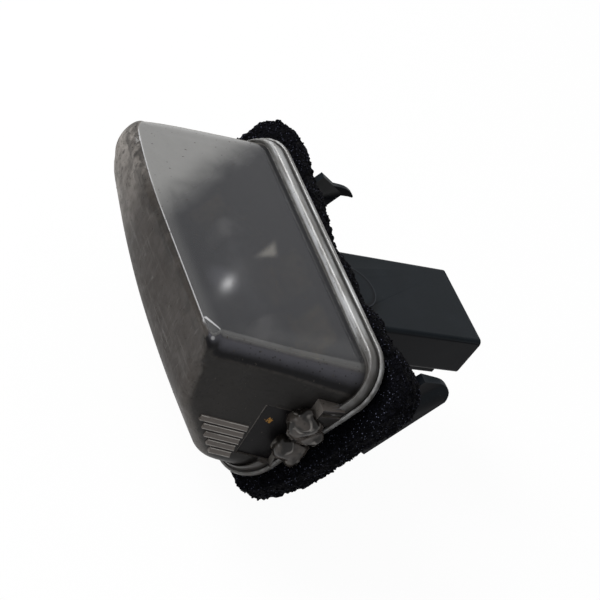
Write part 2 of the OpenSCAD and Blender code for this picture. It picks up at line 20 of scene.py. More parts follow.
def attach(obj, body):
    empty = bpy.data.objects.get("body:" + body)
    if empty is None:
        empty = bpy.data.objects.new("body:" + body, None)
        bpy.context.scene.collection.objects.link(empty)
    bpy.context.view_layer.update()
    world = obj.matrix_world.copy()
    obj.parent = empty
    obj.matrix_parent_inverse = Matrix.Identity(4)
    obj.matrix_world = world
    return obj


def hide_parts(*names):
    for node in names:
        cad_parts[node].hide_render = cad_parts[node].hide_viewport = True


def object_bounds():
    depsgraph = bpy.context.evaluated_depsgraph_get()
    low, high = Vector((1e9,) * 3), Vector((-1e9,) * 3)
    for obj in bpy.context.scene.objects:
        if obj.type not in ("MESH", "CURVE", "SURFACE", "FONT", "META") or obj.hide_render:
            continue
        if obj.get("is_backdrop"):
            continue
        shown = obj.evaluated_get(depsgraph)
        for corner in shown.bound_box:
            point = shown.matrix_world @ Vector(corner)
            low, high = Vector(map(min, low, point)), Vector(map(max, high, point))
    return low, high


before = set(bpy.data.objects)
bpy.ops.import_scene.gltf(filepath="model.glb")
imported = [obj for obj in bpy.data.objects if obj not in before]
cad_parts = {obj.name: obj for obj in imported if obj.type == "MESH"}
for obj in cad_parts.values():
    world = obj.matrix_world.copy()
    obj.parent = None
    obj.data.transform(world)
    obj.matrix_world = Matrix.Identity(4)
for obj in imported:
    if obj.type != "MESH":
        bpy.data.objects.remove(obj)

log = logging.getLogger("number_plate_lamp")

MM = 0.001
BODY = "root"
FLANGE_TILT = math.radians(26.0)
SEAL_THICKNESS = 5.2
FLANGE_THICKNESS = 1.2
LIP_THICKNESS = 1.0
RIM_Z = SEAL_THICKNESS + FLANGE_THICKNESS
LIP_Z = RIM_Z + LIP_THICKNESS
MERGE_REACH = 2e-6
BEVEL_SEGMENTS = 2
BEVEL_SHARP = 45.0
SEEN_RAYS = ("Is Camera Ray", "Is Glossy Ray", "Is Transmission Ray")
WHITE = (1.0, 1.0, 1.0, 1.0)

Colour = tuple[float, float, float]
Outline = tuple[tuple[float, float], ...]


class Zone(Enum):
    """Which finish a face of the lens takes."""

    BODY = 0
    RIM = 1
    INSIDE = 2


def flange_axes() -> Matrix:
    """Returns the turn from the flange's frame, whose z points out of the lens, to the row's frame."""
    return Matrix.Rotation(math.pi / 2 - FLANGE_TILT, 3, "X")


def to_row(points: np.ndarray) -> np.ndarray:
    """Turns rows of x, y, z in the flange's frame, in millimetres, into row points in metres."""
    turn = np.array(flange_axes())
    return points @ turn.T * MM


def add_object(name: str, data: Any) -> bpy.types.Object:
    """Links a new object with a mesh, lamp or camera to the scene and returns it."""
    made = bpy.data.objects.new(name, data)
    bpy.context.scene.collection.objects.link(made)
    return made


def new_object(name: str, vertices: Iterable, faces: Iterable) -> bpy.types.Object:
    """Makes a mesh object at the origin.

    Args:
        name: the object's name.
        vertices: points in metres, in the row's frame.
        faces: tuples of point numbers.

    Returns:
        The object, linked to the scene.
    """
    mesh = bpy.data.meshes.new(name)
    mesh.from_pydata([tuple(v) for v in vertices], [], [tuple(f) for f in faces])
    mesh.validate()
    mesh.update()
    return add_object(name, mesh)


def from_bmesh(name: str, work: bmesh.types.BMesh) -> bpy.types.Object:
    """Turns a worked mesh into a new object and frees it."""
    mesh = bpy.data.meshes.new(name)
    work.to_mesh(mesh)
    work.free()
    return add_object(name, mesh)


def new_block(name: str, corner: Colour, size: Colour, place: Matrix) -> bpy.types.Object:
    """Makes a box from its lowest corner and size in millimetres, at a place."""
    work = bmesh.new()
    bmesh.ops.create_cube(work, size=1.0)
    shift = Vector([c + s / 2 for c, s in zip(corner, size)])
    grow = Matrix.Diagonal((*size, 1.0))
    work.transform(Matrix.Scale(MM, 4) @ place @ Matrix.Translation(shift) @ grow)
    return from_bmesh(name, work)


def dress(piece: bpy.types.Object, *materials: bpy.types.Material) -> None:
    """Gives a piece these materials in place of its own."""
    piece.data.materials.clear()
    for material in materials:
        piece.data.materials.append(material)


def dress_nodes(finishes: dict[str, bpy.types.Material]) -> None:
    """Gives carried-over CAD nodes, by name, their finish."""
    for name, material in finishes.items():
        dress(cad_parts[name], material)


def set_sharp(piece: bpy.types.Object, degrees: float) -> None:
    """Shades a piece smooth, with edges past an angle kept sharp."""
    piece.data.shade_smooth()
    piece.data.set_sharp_from_angle(angle=math.radians(degrees))


def apply_modifiers(piece: bpy.types.Object) -> None:
    """Turns a piece and its modifiers into a plain mesh."""
    graph = bpy.context.evaluated_depsgraph_get()
    made = bpy.data.meshes.new_from_object(piece.evaluated_get(graph))
    piece.modifiers.clear()
    piece.data = made


def modify(piece: bpy.types.Object, kind: str, **settings: Any) -> None:
    """Changes a piece by one modifier of the given kind and settings."""
    step = piece.modifiers.new(kind.lower(), kind)
    for key, value in settings.items():
        setattr(step, key, value)
    apply_modifiers(piece)


def cut_or_join(piece: bpy.types.Object, tool: bpy.types.Object, operation: str) -> None:
    """Joins a closed tool to a piece or cuts it away, and removes the tool.

    Args:
        piece: the mesh object to change.
        tool: a closed mesh object.
        operation: UNION or DIFFERENCE.
    """
    modify(piece, "BOOLEAN", operation=operation, solver="EXACT", object=tool)
    bpy.data.objects.remove(tool)


def merged_copy(node: str, name: str, flat_angle: float = 0.6) -> bpy.types.Object:
    """Copies a CAD node, merges its loose triangles and clears the edges inside flat faces.

    Args:
        node: the CAD node's name.
        name: the new object's name.
        flat_angle: faces that turn less than this many degrees become one.

    Returns:
        The copy.
    """
    work = bmesh.new()
    work.from_mesh(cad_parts[node].data)
    bmesh.ops.remove_doubles(work, verts=work.verts, dist=MERGE_REACH)
    bmesh.ops.dissolve_limit(
        work, angle_limit=math.radians(flat_angle), verts=work.verts, edges=work.edges
    )
    return from_bmesh(name, work)


def round_edges(
    piece: bpy.types.Object, width: float, angle: float = 35.0, edge_slot: int = -1
) -> None:
    """Rounds a piece's sharp edges and keeps its flat faces flat in their shading.

    Args:
        piece: a mesh object of flat faces.
        width: the rounding's width in millimetres.
        angle: edges that turn more than this many degrees are rounded.
        edge_slot: the material slot of the rounded faces, or -1 for their neighbours' one.
    """
    modify(
        piece, "BEVEL", width=width * MM, segments=BEVEL_SEGMENTS, limit_method="ANGLE",
        angle_limit=math.radians(angle), use_clamp_overlap=True, material=edge_slot,
    )
    set_sharp(piece, BEVEL_SHARP)
    modify(piece, "WEIGHTED_NORMAL", keep_sharp=True)


def rebuild(piece: bpy.types.Object, voxel: float) -> None:
    """Rebuilds a closed piece from cubes whose side is given in millimetres."""
    modify(piece, "REMESH", mode="VOXEL", voxel_size=voxel * MM)


def shake(piece: bpy.types.Object, layers: Sequence[tuple[float, float]], seed: float) -> None:
    """Moves each point along its normal by layered noise.

    Args:
        piece: a dense mesh object.
        layers: pairs of a lump's size and its height, both in millimetres.
        seed: shifts the noise, so that two pieces differ.
    """
    mesh = piece.data
    places = np.empty(len(mesh.vertices) * 3)
    normals = np.empty(len(mesh.vertices) * 3)
    mesh.vertices.foreach_get("co", places)
    mesh.vertices.foreach_get("normal", normals)
    places = places.reshape(-1, 3)
    moved = places.copy()
    shift = Vector((seed, -seed, 2 * seed))
    for size, height in layers:
        scale = 1.0 / (size * MM)
        lift = np.array([noise.noise(Vector(p) * scale + shift) for p in places])
        moved += normals.reshape(-1, 3) * (lift * height * MM)[:, None]
    mesh.vertices.foreach_set("co", moved.ravel())
    mesh.update()


class Wire:
    """One value in a node tree, on which Python's arithmetic works."""

    def __init__(self, builder: "TreeBuilder", socket: bpy.types.NodeSocket) -> None:
        """Holds a tree's builder and one of its output sockets."""
        self.builder = builder
        self.socket = socket

    def join(self, operation: str, first: Any, second: Any) -> "Wire":
        """Adds one Math node and returns its result."""
        return self.builder.wire("ShaderNodeMath", {0: first, 1: second}, operation=operation)

    def __add__(self, other: Any) -> "Wire":
        """Adds."""
        return self.join("ADD", self, other)

    def __sub__(self, other: Any) -> "Wire":
        """Subtracts."""
        return self.join("SUBTRACT", self, other)

    def __rsub__(self, other: Any) -> "Wire":
        """Subtracts the wire from something."""
        return self.join("SUBTRACT", other, self)

    def __mul__(self, other: Any) -> "Wire":
        """Multiplies."""
        return self.join("MULTIPLY", self, other)

    __radd__ = __add__

    def squared(self) -> "Wire":
        """Returns the value times itself."""
        return self * self

    def higher(self, other: Any) -> "Wire":
        """Returns the larger of two values."""
        return self.join("MAXIMUM", self, other)

    def held(self) -> "Wire":
        """Returns the value held between 0 and 1."""
        return self.builder.wire("ShaderNodeClamp", {"Value": self})

    def step(self, low: float, high: float) -> "Wire":
        """Rises smoothly from 0 at low to 1 at high, or falls where low is the larger."""
        flip = low > high
        ends = {1: min(low, high), 2: max(low, high), 3: float(flip), 4: float(not flip)}
        return self.builder.wire(
            "ShaderNodeMapRange", {0: self, **ends}, interpolation_type="SMOOTHSTEP"
        )


class TreeBuilder:
    """Adds nodes to a node tree."""

    def __init__(self, tree: bpy.types.NodeTree) -> None:
        """Takes the tree and empties it."""
        self.tree = tree
        self.tree.nodes.clear()

    def node(self, kind: str, inputs: dict[Any, Any], **settings: Any) -> bpy.types.Node:
        """Adds a node.

        Args:
            kind: the node's type.
            inputs: values, sockets or wires for its sockets, by name or number.
            settings: its properties, which are set before its sockets are.

        Returns:
            The node.
        """
        made = self.tree.nodes.new(kind)
        for key, value in settings.items():
            setattr(made, key, value)
        for key, value in inputs.items():
            source = value.socket if isinstance(value, Wire) else value
            if isinstance(source, bpy.types.NodeSocket):
                self.tree.links.new(source, made.inputs[key])
            else:
                made.inputs[key].default_value = source
        return made

    def wire(
        self, kind: str, inputs: dict[Any, Any], output: int | str = 0, **settings: Any
    ) -> Wire:
        """Adds a node and returns the wire from one of its outputs."""
        return Wire(self, self.node(kind, inputs, **settings).outputs[output])


class Paint(TreeBuilder):
    """Builds one material's node tree. Its sizes and places are in millimetres."""

    def __init__(self, name: str) -> None:
        """Makes an empty material."""
        self.material = bpy.data.materials.new(name)
        self.material.use_nodes = True
        super().__init__(self.material.node_tree)

    @cached_property
    def place(self) -> Wire:
        """The point in the row's frame."""
        spot = self.wire("ShaderNodeTexCoord", {}, "Object")
        return self.wire("ShaderNodeVectorMath", {0: spot, "Scale": 1 / MM}, operation="SCALE")

    @cached_property
    def axes(self) -> tuple[Wire, Wire, Wire]:
        """The point's x, y and z in the row's frame."""
        return self.along(1.0, 0.0, 0.0), self.along(0.0, 1.0, 0.0), self.along(0.0, 0.0, 1.0)

    @cached_property
    def normal(self) -> Wire:
        """The surface's normal."""
        return self.wire("ShaderNodeNewGeometry", {}, "Normal")

    def dot(self, vector: Wire, direction: Sequence[float]) -> Wire:
        """Returns how far a vector reaches along a direction."""
        inputs = {0: vector, 1: tuple(direction)}
        return self.wire("ShaderNodeVectorMath", inputs, "Value", operation="DOT_PRODUCT")

    def along(self, *direction: float) -> Wire:
        """Returns how far the point lies along a direction."""
        return self.dot(self.place, direction)

    def facing(self, *direction: float) -> Wire:
        """Returns how much the surface faces a direction, up to 1."""
        return self.dot(self.normal, direction)

    def reach(self, *spot: float) -> Wire:
        """Returns the squared distance to a spot, of which the last axes may be left out."""
        parts = [(axis - value).squared() for axis, value in zip(self.axes, spot)]
        return sum(parts[1:], parts[0])

    def attribute(self, name: str) -> Wire:
        """Returns a number that is stored on the mesh."""
        return self.wire("ShaderNodeAttribute", {}, "Fac", attribute_name=name)

    def cloud(
        self, size: float, detail: float = 4.0, warp: float = 0.0,
        stretch: Colour | None = None, turn: float = 0.0,
    ) -> Wire:
        """Returns soft noise from 0 to 1.

        Args:
            size: the size of one patch.
            detail: how many finer layers it has.
            warp: how much the noise distorts itself.
            stretch: a scale along each axis, for noise that runs one way.
            turn: a turn about X, in radians, for stretched noise.

        Returns:
            The noise.
        """
        place = self.place
        if stretch:
            inputs = {"Vector": place, "Rotation": (turn, 0.0, 0.0), "Scale": stretch}
            place = self.wire("ShaderNodeMapping", inputs)
        inputs = {"Vector": place, "Scale": 1.0 / size, "Detail": detail, "Distortion": warp}
        return self.wire("ShaderNodeTexNoise", inputs)

    def cells(self, size: float) -> Wire:
        """Returns the distance to the nearest of scattered points, in their spacing's size."""
        inputs = {"Vector": self.place, "Scale": 1.0 / size}
        return self.wire("ShaderNodeTexVoronoi", inputs, "Distance")

    def inside(self, first: Wire, second: Wire, corners: Outline, soft: float) -> Wire:
        """Returns 1 inside a convex outline and 0 outside it, with a soft edge.

        Args:
            first: the place along the outline's first axis.
            second: the place along its second axis.
            corners: the outline's corners, anticlockwise.
            soft: the width of the soft edge.

        Returns:
            The share.
        """
        share: Any = 1.0
        for (ax, ay), (bx, by) in zip(corners, [*corners[1:], corners[0]]):
            length = math.hypot(bx - ax, by - ay)
            nx, ny = (ay - by) / length, (bx - ax) / length
            reach = first * nx + second * ny - (ax * nx + ay * ny)
            share = reach.step(-soft / 2, soft / 2) * share
        return share

    def layered(self, base: Any, *layers: tuple[Any, Any]) -> Wire:
        """Paints layers over a base colour.

        Args:
            base: a colour or a wire.
            layers: pairs of a share, which is held between 0 and 1, and a colour or a wire.

        Returns:
            The colour on top.
        """
        for share, tone in layers:
            pair = [(*c, 1.0) if isinstance(c, tuple) else c for c in (base, tone)]
            inputs = {0: share, 6: pair[0], 7: pair[1]}
            base = self.wire("ShaderNodeMix", inputs, 2, data_type="RGBA", clamp_factor=True)
        return base

    def bump(self, height: Wire, depth: float) -> Wire:
        """Returns a normal bent by a height of the given depth."""
        inputs = {"Height": height, "Strength": 1.0, "Distance": depth * MM}
        return self.wire("ShaderNodeBump", inputs)

    def surface(self, colour: Any, rough: Any, **inputs: Any) -> bpy.types.Node:
        """Adds a Principled shader.

        Args:
            colour: a colour or a wire.
            rough: a number or a wire, which is held between 0 and 1.
            inputs: its other sockets, with underscores for spaces in their names.

        Returns:
            The shader node.
        """
        named = {key.replace("_", " "): value for key, value in inputs.items()}
        named["Base Color"] = (*colour, 1.0) if isinstance(colour, tuple) else colour
        named["Roughness"] = rough.held() if isinstance(rough, Wire) else rough
        return self.node("ShaderNodeBsdfPrincipled", named)

    def clear(self, colour: Colour, rough: Any, **inputs: Any) -> bpy.types.Node:
        """Adds a Principled shader that lets light through."""
        return self.surface(colour, rough, Transmission_Weight=1.0, **inputs)

    def mix(self, share: Wire, first: bpy.types.Node, second: bpy.types.Node) -> bpy.types.Node:
        """Mixes two shaders by the second one's share."""
        inputs = {0: share, 1: first.outputs[0], 2: second.outputs[0]}
        return self.node("ShaderNodeMixShader", inputs)

    def finish(self, shader: bpy.types.Node) -> bpy.types.Material:
        """Links the last shader to the output and returns the material."""
        self.node("ShaderNodeOutputMaterial", {"Surface": shader.outputs[0]})
        return self.material


@dataclass(frozen=True)
class Finish:
    """A named material that is painted by nodes."""

    name: str

    def make(self) -> bpy.types.Material:
        """Returns the material."""
        paint = Paint(self.name)
        return paint.finish(self.shader(paint))

    def shader(self, paint: Paint) -> bpy.types.Node:
        """Returns the finish's last shader."""
        raise NotImplementedError


@dataclass(frozen=True)
class LensZones:
    """Where the parts of the lens's skin lie, as shares, and the noise that breaks them up."""

    up: Wire
    high: Wire
    window: Wire
    fillet: Wire
    end: Wire
    patches: Wire
    mottle: Wire
    streaks: Wire
    soiled: Wire
    scratches: Wire


@dataclass(frozen=True)
class DirtyLensPlastic(Finish):
    """Clear plastic under a film of dirt: glossier on the window, matt and streaked elsewhere."""

    name: str = "dirty_lens_plastic"
    film: Colour = (0.265, 0.243, 0.222)
    film_low: Colour = (0.029, 0.0235, 0.0195)
    film_dark: Colour = (0.015, 0.0115, 0.0095)
    haze: Colour = (0.262, 0.260, 0.252)
    veil: Colour = (0.0150, 0.0158, 0.0200)
    ledge_light: Colour = (0.105, 0.092, 0.082)
    fillet: Colour = (0.078, 0.077, 0.088)
    fillet_shade: Colour = (0.0040, 0.0038, 0.0045)
    pad_dark: Colour = (0.0065, 0.0060, 0.0066)
    end_shade: Colour = (0.0105, 0.0098, 0.0095)
    scratch: Colour = (0.34, 0.33, 0.31)
    highlight_colour: Colour = (0.36, 0.36, 0.365)
    corner_highlight_colour: Colour = (0.56, 0.56, 0.57)
    pale: Colour = (0.215, 0.205, 0.185)
    glow: Colour = (0.17, 0.172, 0.205)
    rust: Colour = (0.30, 0.15, 0.03)
    soot_and_shade: Colour = (0.010, 0.009, 0.008)
    tint: Colour = (0.70, 0.70, 0.73)
    ridge_facing: Colour = (0.0, -0.58, 0.815)
    crease_facing: Colour = (0.0, -0.80, 0.60)
    far_corner: Colour = (0.751, 0.661, 0.0)
    glow_spot: tuple[float, float] = (10.9, -24.4)
    glint_spot: Colour = (24.35, -30.9, 15.9)
    rust_y: float = -13.95
    rust_z: float = 3.0
    pad: Outline = ((-10.1, -5.2), (-10.1, 6.3), (-16.5, 6.3), (-16.5, -5.2))
    pad_middle: Outline = ((-9.0, -5.2), (-9.0, 6.1), (-16.3, 6.1), (-16.3, -5.2))
    pale_spot: Outline = ((3.9, -15.0), (2.9, -10.6), (-0.5, -9.7))
    corner_highlight_outline: Outline = ((22.75, -29.15), (22.55, -29.05), (20.1, -31.0), (20.35, -31.55))

    def zones(self, paint: Paint) -> LensZones:
        """Works out the zones from the skin's place and slope."""
        up = paint.facing(0.0, 0.0, 1.0)
        out = paint.facing(1.0, 0.0, 0.0)
        high = paint.axes[2].step(12.0, 14.0)
        fillet = up.step(0.95, 0.82) * up.step(0.12, 0.34) * out.step(0.15, 0.45)
        patches = paint.cloud(9.0, 5.0, 0.6)
        mottle = paint.cloud(2.2, 6.0, 0.4)
        streaks = paint.cloud(1.1, stretch=(0.10, 1.0, 1.0))
        hair = paint.cloud(0.9, 2.0, 0.6, (0.06, 2.2, 2.2), 0.35).step(0.60, 0.70)
        scuff = paint.cloud(0.8, 3.0, 0.9, (1.2, 0.16, 0.16), -0.5).step(0.61, 0.71)
        return LensZones(
            up=up, high=high, window=up.step(0.84, 0.97) * high, fillet=fillet,
            end=out.step(0.50, 0.93) * (1 - fillet),
            patches=patches, mottle=mottle, streaks=streaks,
            soiled=(patches * 0.55 + streaks * 0.12 + mottle * 0.48).step(0.42, 0.74),
            scratches=hair.higher(scuff),
        )

    def film_colour(self, paint: Paint, zones: LensZones) -> Wire:
        """Returns the colour of the dirty film on the outer face, with its scratches."""
        x, _, z = paint.axes
        clean = (x + (zones.patches - 0.5) * 9).step(-8.0, -27.0)
        cuts = paint.cloud(0.7, 4.0, 2.2, (0.5, 0.2, 0.4), 0.9).step(0.57, 0.64)
        edge = z.step(11.5, 15.0) * (1 - zones.high * zones.window)
        edge = edge * zones.mottle.step(0.40, 0.52) * zones.streaks.step(0.35, 0.6)
        return paint.layered(
            self.film_low,
            (clean, self.film),
            (zones.soiled * 0.62, self.film_dark),
            (x.step(22.0, 31.0) * 0.36, self.film),
            (zones.scratches * 0.13, self.scratch),
            (cuts * 0.75, self.film_dark),
            (edge * 0.7, self.soot_and_shade),
        )

    def end_colour(self, paint: Paint, zones: LensZones, film: Wire) -> Wire:
        """Returns the film's colour with the ribbed end in painted shade, its pad, painted light on
        up-facing faces and the rounding above over it.
        """
        _, y, z = paint.axes
        side_light = (y + 20.0).step(4.0, -5.0) * zones.end
        pad = paint.inside(y, z, self.pad, 0.10) * zones.end
        pad_middle = paint.inside(y, z, self.pad_middle, 0.10) * zones.end
        ragged = (paint.cloud(0.5, 3.0) - 0.5) * 3.4
        rust = (y - self.rust_y).squared() + (z - self.rust_z).squared() * 2 + ragged
        shade = (zones.up + (zones.mottle - 0.5) * 0.12).step(0.80, 0.44)
        return paint.layered(
            film,
            # The ribbed end faces away from the key light and takes painted shade.
            (zones.end * 0.95, self.end_shade),
            (side_light * zones.mottle * 0.06, self.film),
            (pad * 0.92, self.pad_dark),
            ((pad - pad_middle) * 0.35, self.film),
            (rust.step(0.42, 0.20) * zones.end, self.rust),
            # Faces that look up below the window, such as the slotted block's top, take painted light.
            (zones.up.step(0.70, 0.90) * (1 - zones.high), self.ledge_light),
            # On the rounding above the end: a pale, bluish painted reflection on its upper part that
            # fades into painted shade lower down.
            (zones.fillet, paint.layered(self.fillet, (shade, self.fillet_shade))),
        )

    def glass_colour(self, paint: Paint, zones: LensZones) -> Wire:
        """Returns the window's colour, with painted light where light shines through it, a painted glow
        and what lies on it.
        """
        x, y, _ = paint.axes
        far_light = paint.along(*self.far_corner)
        far_light = far_light + (zones.patches - 0.5) * 5 + (zones.mottle - 0.5) * 1.5
        return paint.layered(
            self.veil,
            # Painted light where the far end and the window's edges let the background through the haze.
            (far_light.step(-20.7, -29.6), self.haze),
            (y.step(-28.3, -31.6) * 0.22, self.haze),
            (x.step(20.3, 23.3) * 0.075, self.haze),
            # A painted pale spot of light seen through the window, and a soft painted glow on the window.
            (paint.inside(x, y, self.pale_spot, 1.5) * 0.72, self.pale),
            (paint.reach(*self.glow_spot).step(16.0, 0.5) * 0.16, self.glow),
            (paint.cells(1.9).step(0.055, 0.02) * 0.5, self.scratch),
        )

    def shader(self, paint: Paint) -> bpy.types.Node:
        """Returns the film over clear plastic, with painted light and shade in its colour."""
        zones = self.zones(paint)
        x, y, z = paint.axes
        window, mottle, streaks = zones.window, zones.mottle, zones.streaks
        near_ridge = z.step(11.0, 13.0)
        ridge = paint.facing(*self.ridge_facing).step(0.965, 0.99) * near_ridge * x.step(22.0, 20.5)
        crease = paint.facing(*self.crease_facing).step(0.985, 0.997) * near_ridge
        out = paint.facing(1.0, 0.0, 0.0)
        brim = zones.up.step(0.990, 0.965) * zones.up.step(0.86, 0.93) * out.step(0.10, 0.25)
        # A painted highlight on the window's near corner, where the ridge turns into the rounding.
        corner_highlight = paint.inside(x, y, self.corner_highlight_outline, 0.25) * z.step(13.0, 15.0)
        grime_and_shade = paint.attribute("grime_and_shade")
        specks = paint.cells(1.35).step(0.13, 0.05) * mottle.step(0.45, 0.6)
        fine = paint.cells(0.85).step(0.25, 0.11) * zones.patches.step(0.38, 0.55)
        colour = paint.layered(
            self.end_colour(paint, zones, self.film_colour(paint, zones)),
            (window, self.glass_colour(paint, zones)),
            # A painted highlight where the window turns down into the rounding above the end.
            (brim * zones.high * 0.35, self.haze),
            # A painted shade line along the ridge, beside the painted highlight, broken by mottle.
            (crease * 0.75 * mottle.step(0.35, 0.55), self.soot_and_shade),
            # A painted highlight along the ridge's rounding that faces the key light, broken by streaks.
            (ridge * streaks.step(0.22, 0.48), self.highlight_colour),
            (corner_highlight * 0.9, self.corner_highlight_colour),
            # A painted glint on the near corner's rounding.
            (paint.reach(*self.glint_spot).step(0.20, 0.03), self.highlight_colour),
            # Specks and fine dirt, and painted shade with dirt in the rim's groove and at the body's
            # foot.
            (specks * 0.9 + fine * (0.80 - window * 0.72) + grime_and_shade * 0.85, self.soot_and_shade),
        )
        runs = paint.cloud(1.6, 5.0, 0.3, (1.0, 0.16, 0.16))
        cover = 0.80 + zones.soiled * 0.10 + (runs - 0.5) * 0.2 + (zones.end + zones.fillet) * 0.2
        cover = cover * (1 - window) + window * (0.82 + (mottle - 0.5) * 0.12)
        cover = cover + specks * 0.5 + grime_and_shade * 0.6 + ridge + corner_highlight
        rough = 0.48 + (mottle - 0.5) * 0.2 - zones.end * 0.06
        rough = rough * (1 - window) + window * (0.062 + (mottle - 0.5) * 0.02)
        relief = (streaks * 0.12 + mottle * 0.6 + zones.scratches * 0.25) * (1 - window)
        bent = paint.bump(relief, 0.04)
        film = paint.surface(colour, rough, Normal=bent, Specular_IOR_Level=0.12)
        gloss = paint.surface(colour, rough, Normal=bent, Specular_IOR_Level=0.28)
        clear = paint.clear(self.tint, rough + 0.1, Normal=bent, IOR=1.45, Specular_IOR_Level=0.30)
        return paint.mix(cover.held(), clear, paint.mix(window, film, gloss))


@dataclass(frozen=True)
class ClearInnerSkin(Finish):
    """The lens's inner side, which keeps clean apart from a faint haze."""

    name: str = "clear_inner_skin"
    tint: Colour = (0.93, 0.93, 0.94)

    def shader(self, paint: Paint) -> bpy.types.Node:
        """Returns hazy clear plastic."""
        rough = 0.05 + paint.cloud(6.0) * 0.16
        return paint.clear(self.tint, rough, IOR=1.45, Specular_IOR_Level=0.35)


@dataclass(frozen=True)
class SilveryRimPlastic(Finish):
    """The lens's rim, painted pale and silvery for the light that runs inside it, with specks, dirt and
    painted shade in its groove.
    """

    name: str = "silvery_rim_plastic"
    strip_highlight: Colour = (0.54, 0.545, 0.555)
    pale: Colour = (0.40, 0.405, 0.405)
    grey: Colour = (0.135, 0.13, 0.122)
    brown: Colour = (0.026, 0.021, 0.017)
    soot_and_shade: Colour = (0.016, 0.014, 0.012)
    tint: Colour = (0.7, 0.7, 0.7)
    strip_start: float = 15.15
    strip_slope: float = -0.0130

    def shader(self, paint: Paint) -> bpy.types.Node:
        """Returns the silvery layer over clear plastic."""
        x, _, _ = paint.axes
        across = paint.along(0.0, math.sin(FLANGE_TILT), math.cos(FLANGE_TILT))
        above = paint.along(0.0, -math.cos(FLANGE_TILT), math.sin(FLANGE_TILT))
        grime_and_shade = paint.attribute("grime_and_shade")
        bands = paint.cloud(1.2, 5.0, stretch=(0.14, 1.0, 1.0))
        mottle = paint.cloud(1.2, 5.0, 0.5)
        specks = paint.cells(0.7).step(0.2, 0.09) * mottle.step(0.42, 0.56)
        lip = above.step(LIP_Z + 0.10, LIP_Z - 0.05)
        brown = (x + (mottle - 0.5) * 3).step(16.0, 26.0) * across.step(4.0, -2.0)
        start = x * self.strip_slope + self.strip_start
        # A painted highlight along the bead's inner slope.
        strip = (across - start).step(-0.15, 0.20) * across.step(16.30, 15.75) * x.step(25.0, 19.0)
        # Painted shade with dirt in the groove, held back under the painted highlight, and specks.
        dark = grime_and_shade * (0.75 + mottle * 0.6) * (1 - strip * 0.9) + specks * (0.55 + grime_and_shade)
        colour = paint.layered(
            self.pale,
            (bands.step(0.36, 0.64), self.grey),
            (x.step(20.0, 27.5) * (0.78 - lip * 0.58), self.brown),
            (brown * (0.95 - lip * 0.30), self.brown),
            (strip * bands.step(0.72, 0.42), self.strip_highlight),
            (dark, self.soot_and_shade),
        )
        rough = 0.20 + mottle * 0.20 + grime_and_shade * 0.3
        bent = paint.bump(mottle * 0.6 + bands * 0.6, 0.05)
        layer = paint.surface(colour, rough, Normal=bent, Specular_IOR_Level=0.55)
        clear = paint.clear(self.tint, rough, Normal=bent, IOR=1.45)
        return paint.mix((0.72 + grime_and_shade * 0.3).held(), clear, layer)


@dataclass(frozen=True)
class ShadedRibPlastic(Finish):
    """The lens's plastic on the ribs, with painted highlights on their outer edges and painted light and
    shade on their slopes.
    """

    name: str = "shaded_rib_plastic"
    edge: Colour = (0.36, 0.34, 0.32)
    slope: Colour = (0.122, 0.106, 0.095)
    under: Colour = (0.012, 0.010, 0.009)

    def shader(self, paint: Paint) -> bpy.types.Node:
        """Returns dull plastic with painted highlights on its edges and painted shade beneath."""
        up = paint.facing(0.0, 0.0, 1.0)
        out = paint.facing(1.0, 0.0, 0.0)
        streaks = paint.cloud(0.6, stretch=(1.0, 0.2, 1.0))
        wear_and_highlight = up.step(-0.30, -0.02) * up.step(0.42, 0.20) * streaks.step(0.28, 0.5)
        # Painted shade on faces that turn down, painted light on the upward slopes and painted highlights
        # on the outer edges.
        colour = paint.layered(
            self.under,
            (up.step(-0.35, 0.15), self.slope),
            (wear_and_highlight * out.step(0.2, 0.45), self.edge),
        )
        return paint.surface(
            colour, 0.34, Normal=paint.bump(streaks, 0.03), Specular_IOR_Level=0.3
        )


@dataclass(frozen=True)
class MouldedPlastic(Finish):
    """Satin black moulded plastic with a faint blue cast, fine grain and dust."""

    name: str = "black_moulded_plastic"
    colour: Colour = (0.0056, 0.0081, 0.0106)
    wear_and_highlight: Colour = (0.0086, 0.0114, 0.0146)
    under: Colour = (0.0006, 0.0007, 0.0020)
    dust: Colour = (0.045, 0.044, 0.045)
    edge_highlight: Colour = (0.026, 0.030, 0.036)
    boss: tuple[float, float] = (0.6, 11.3)
    boss_radius: float = 5.5
    roughness: float = 0.42

    def shader(self, paint: Paint) -> bpy.types.Node:
        """Returns dusty plastic with painted shade on faces that turn from the top and a painted ring of
        shade and highlight round the boss's top.
        """
        patches = paint.cloud(6.0)
        grain = paint.cloud(0.16, 3.0)
        dust = paint.cells(1.1).step(0.11, 0.05) * patches.step(0.45, 0.7)
        reach = paint.reach(*self.boss)

        def past(start: float, stop: float) -> Wire:
            """Returns a step between two distances from the boss's edge."""
            return reach.step((self.boss_radius + start) ** 2, (self.boss_radius + stop) ** 2)

        top = paint.axes[2].step(10.0, 10.3) * past(0.4, 0.2)
        colour = paint.layered(
            self.colour,
            (patches.step(0.35, 0.75), self.wear_and_highlight),
            # Painted shade on faces that turn away from the top.
            (paint.facing(0.0, 0.0, 1.0).step(0.75, 0.15) * 0.85, self.under),
            # A painted shade ring inside the boss's edge, then a painted highlight on the edge.
            (past(-1.1, -0.45) * top * 0.7, self.under),
            (past(-0.25, -0.1) * top, self.edge_highlight),
            (dust * 0.7, self.dust),
        )
        rough = self.roughness + (patches - 0.5) * 0.16
        return paint.surface(
            colour, rough, Normal=paint.bump(grain, 0.012), Specular_IOR_Level=0.055
        )


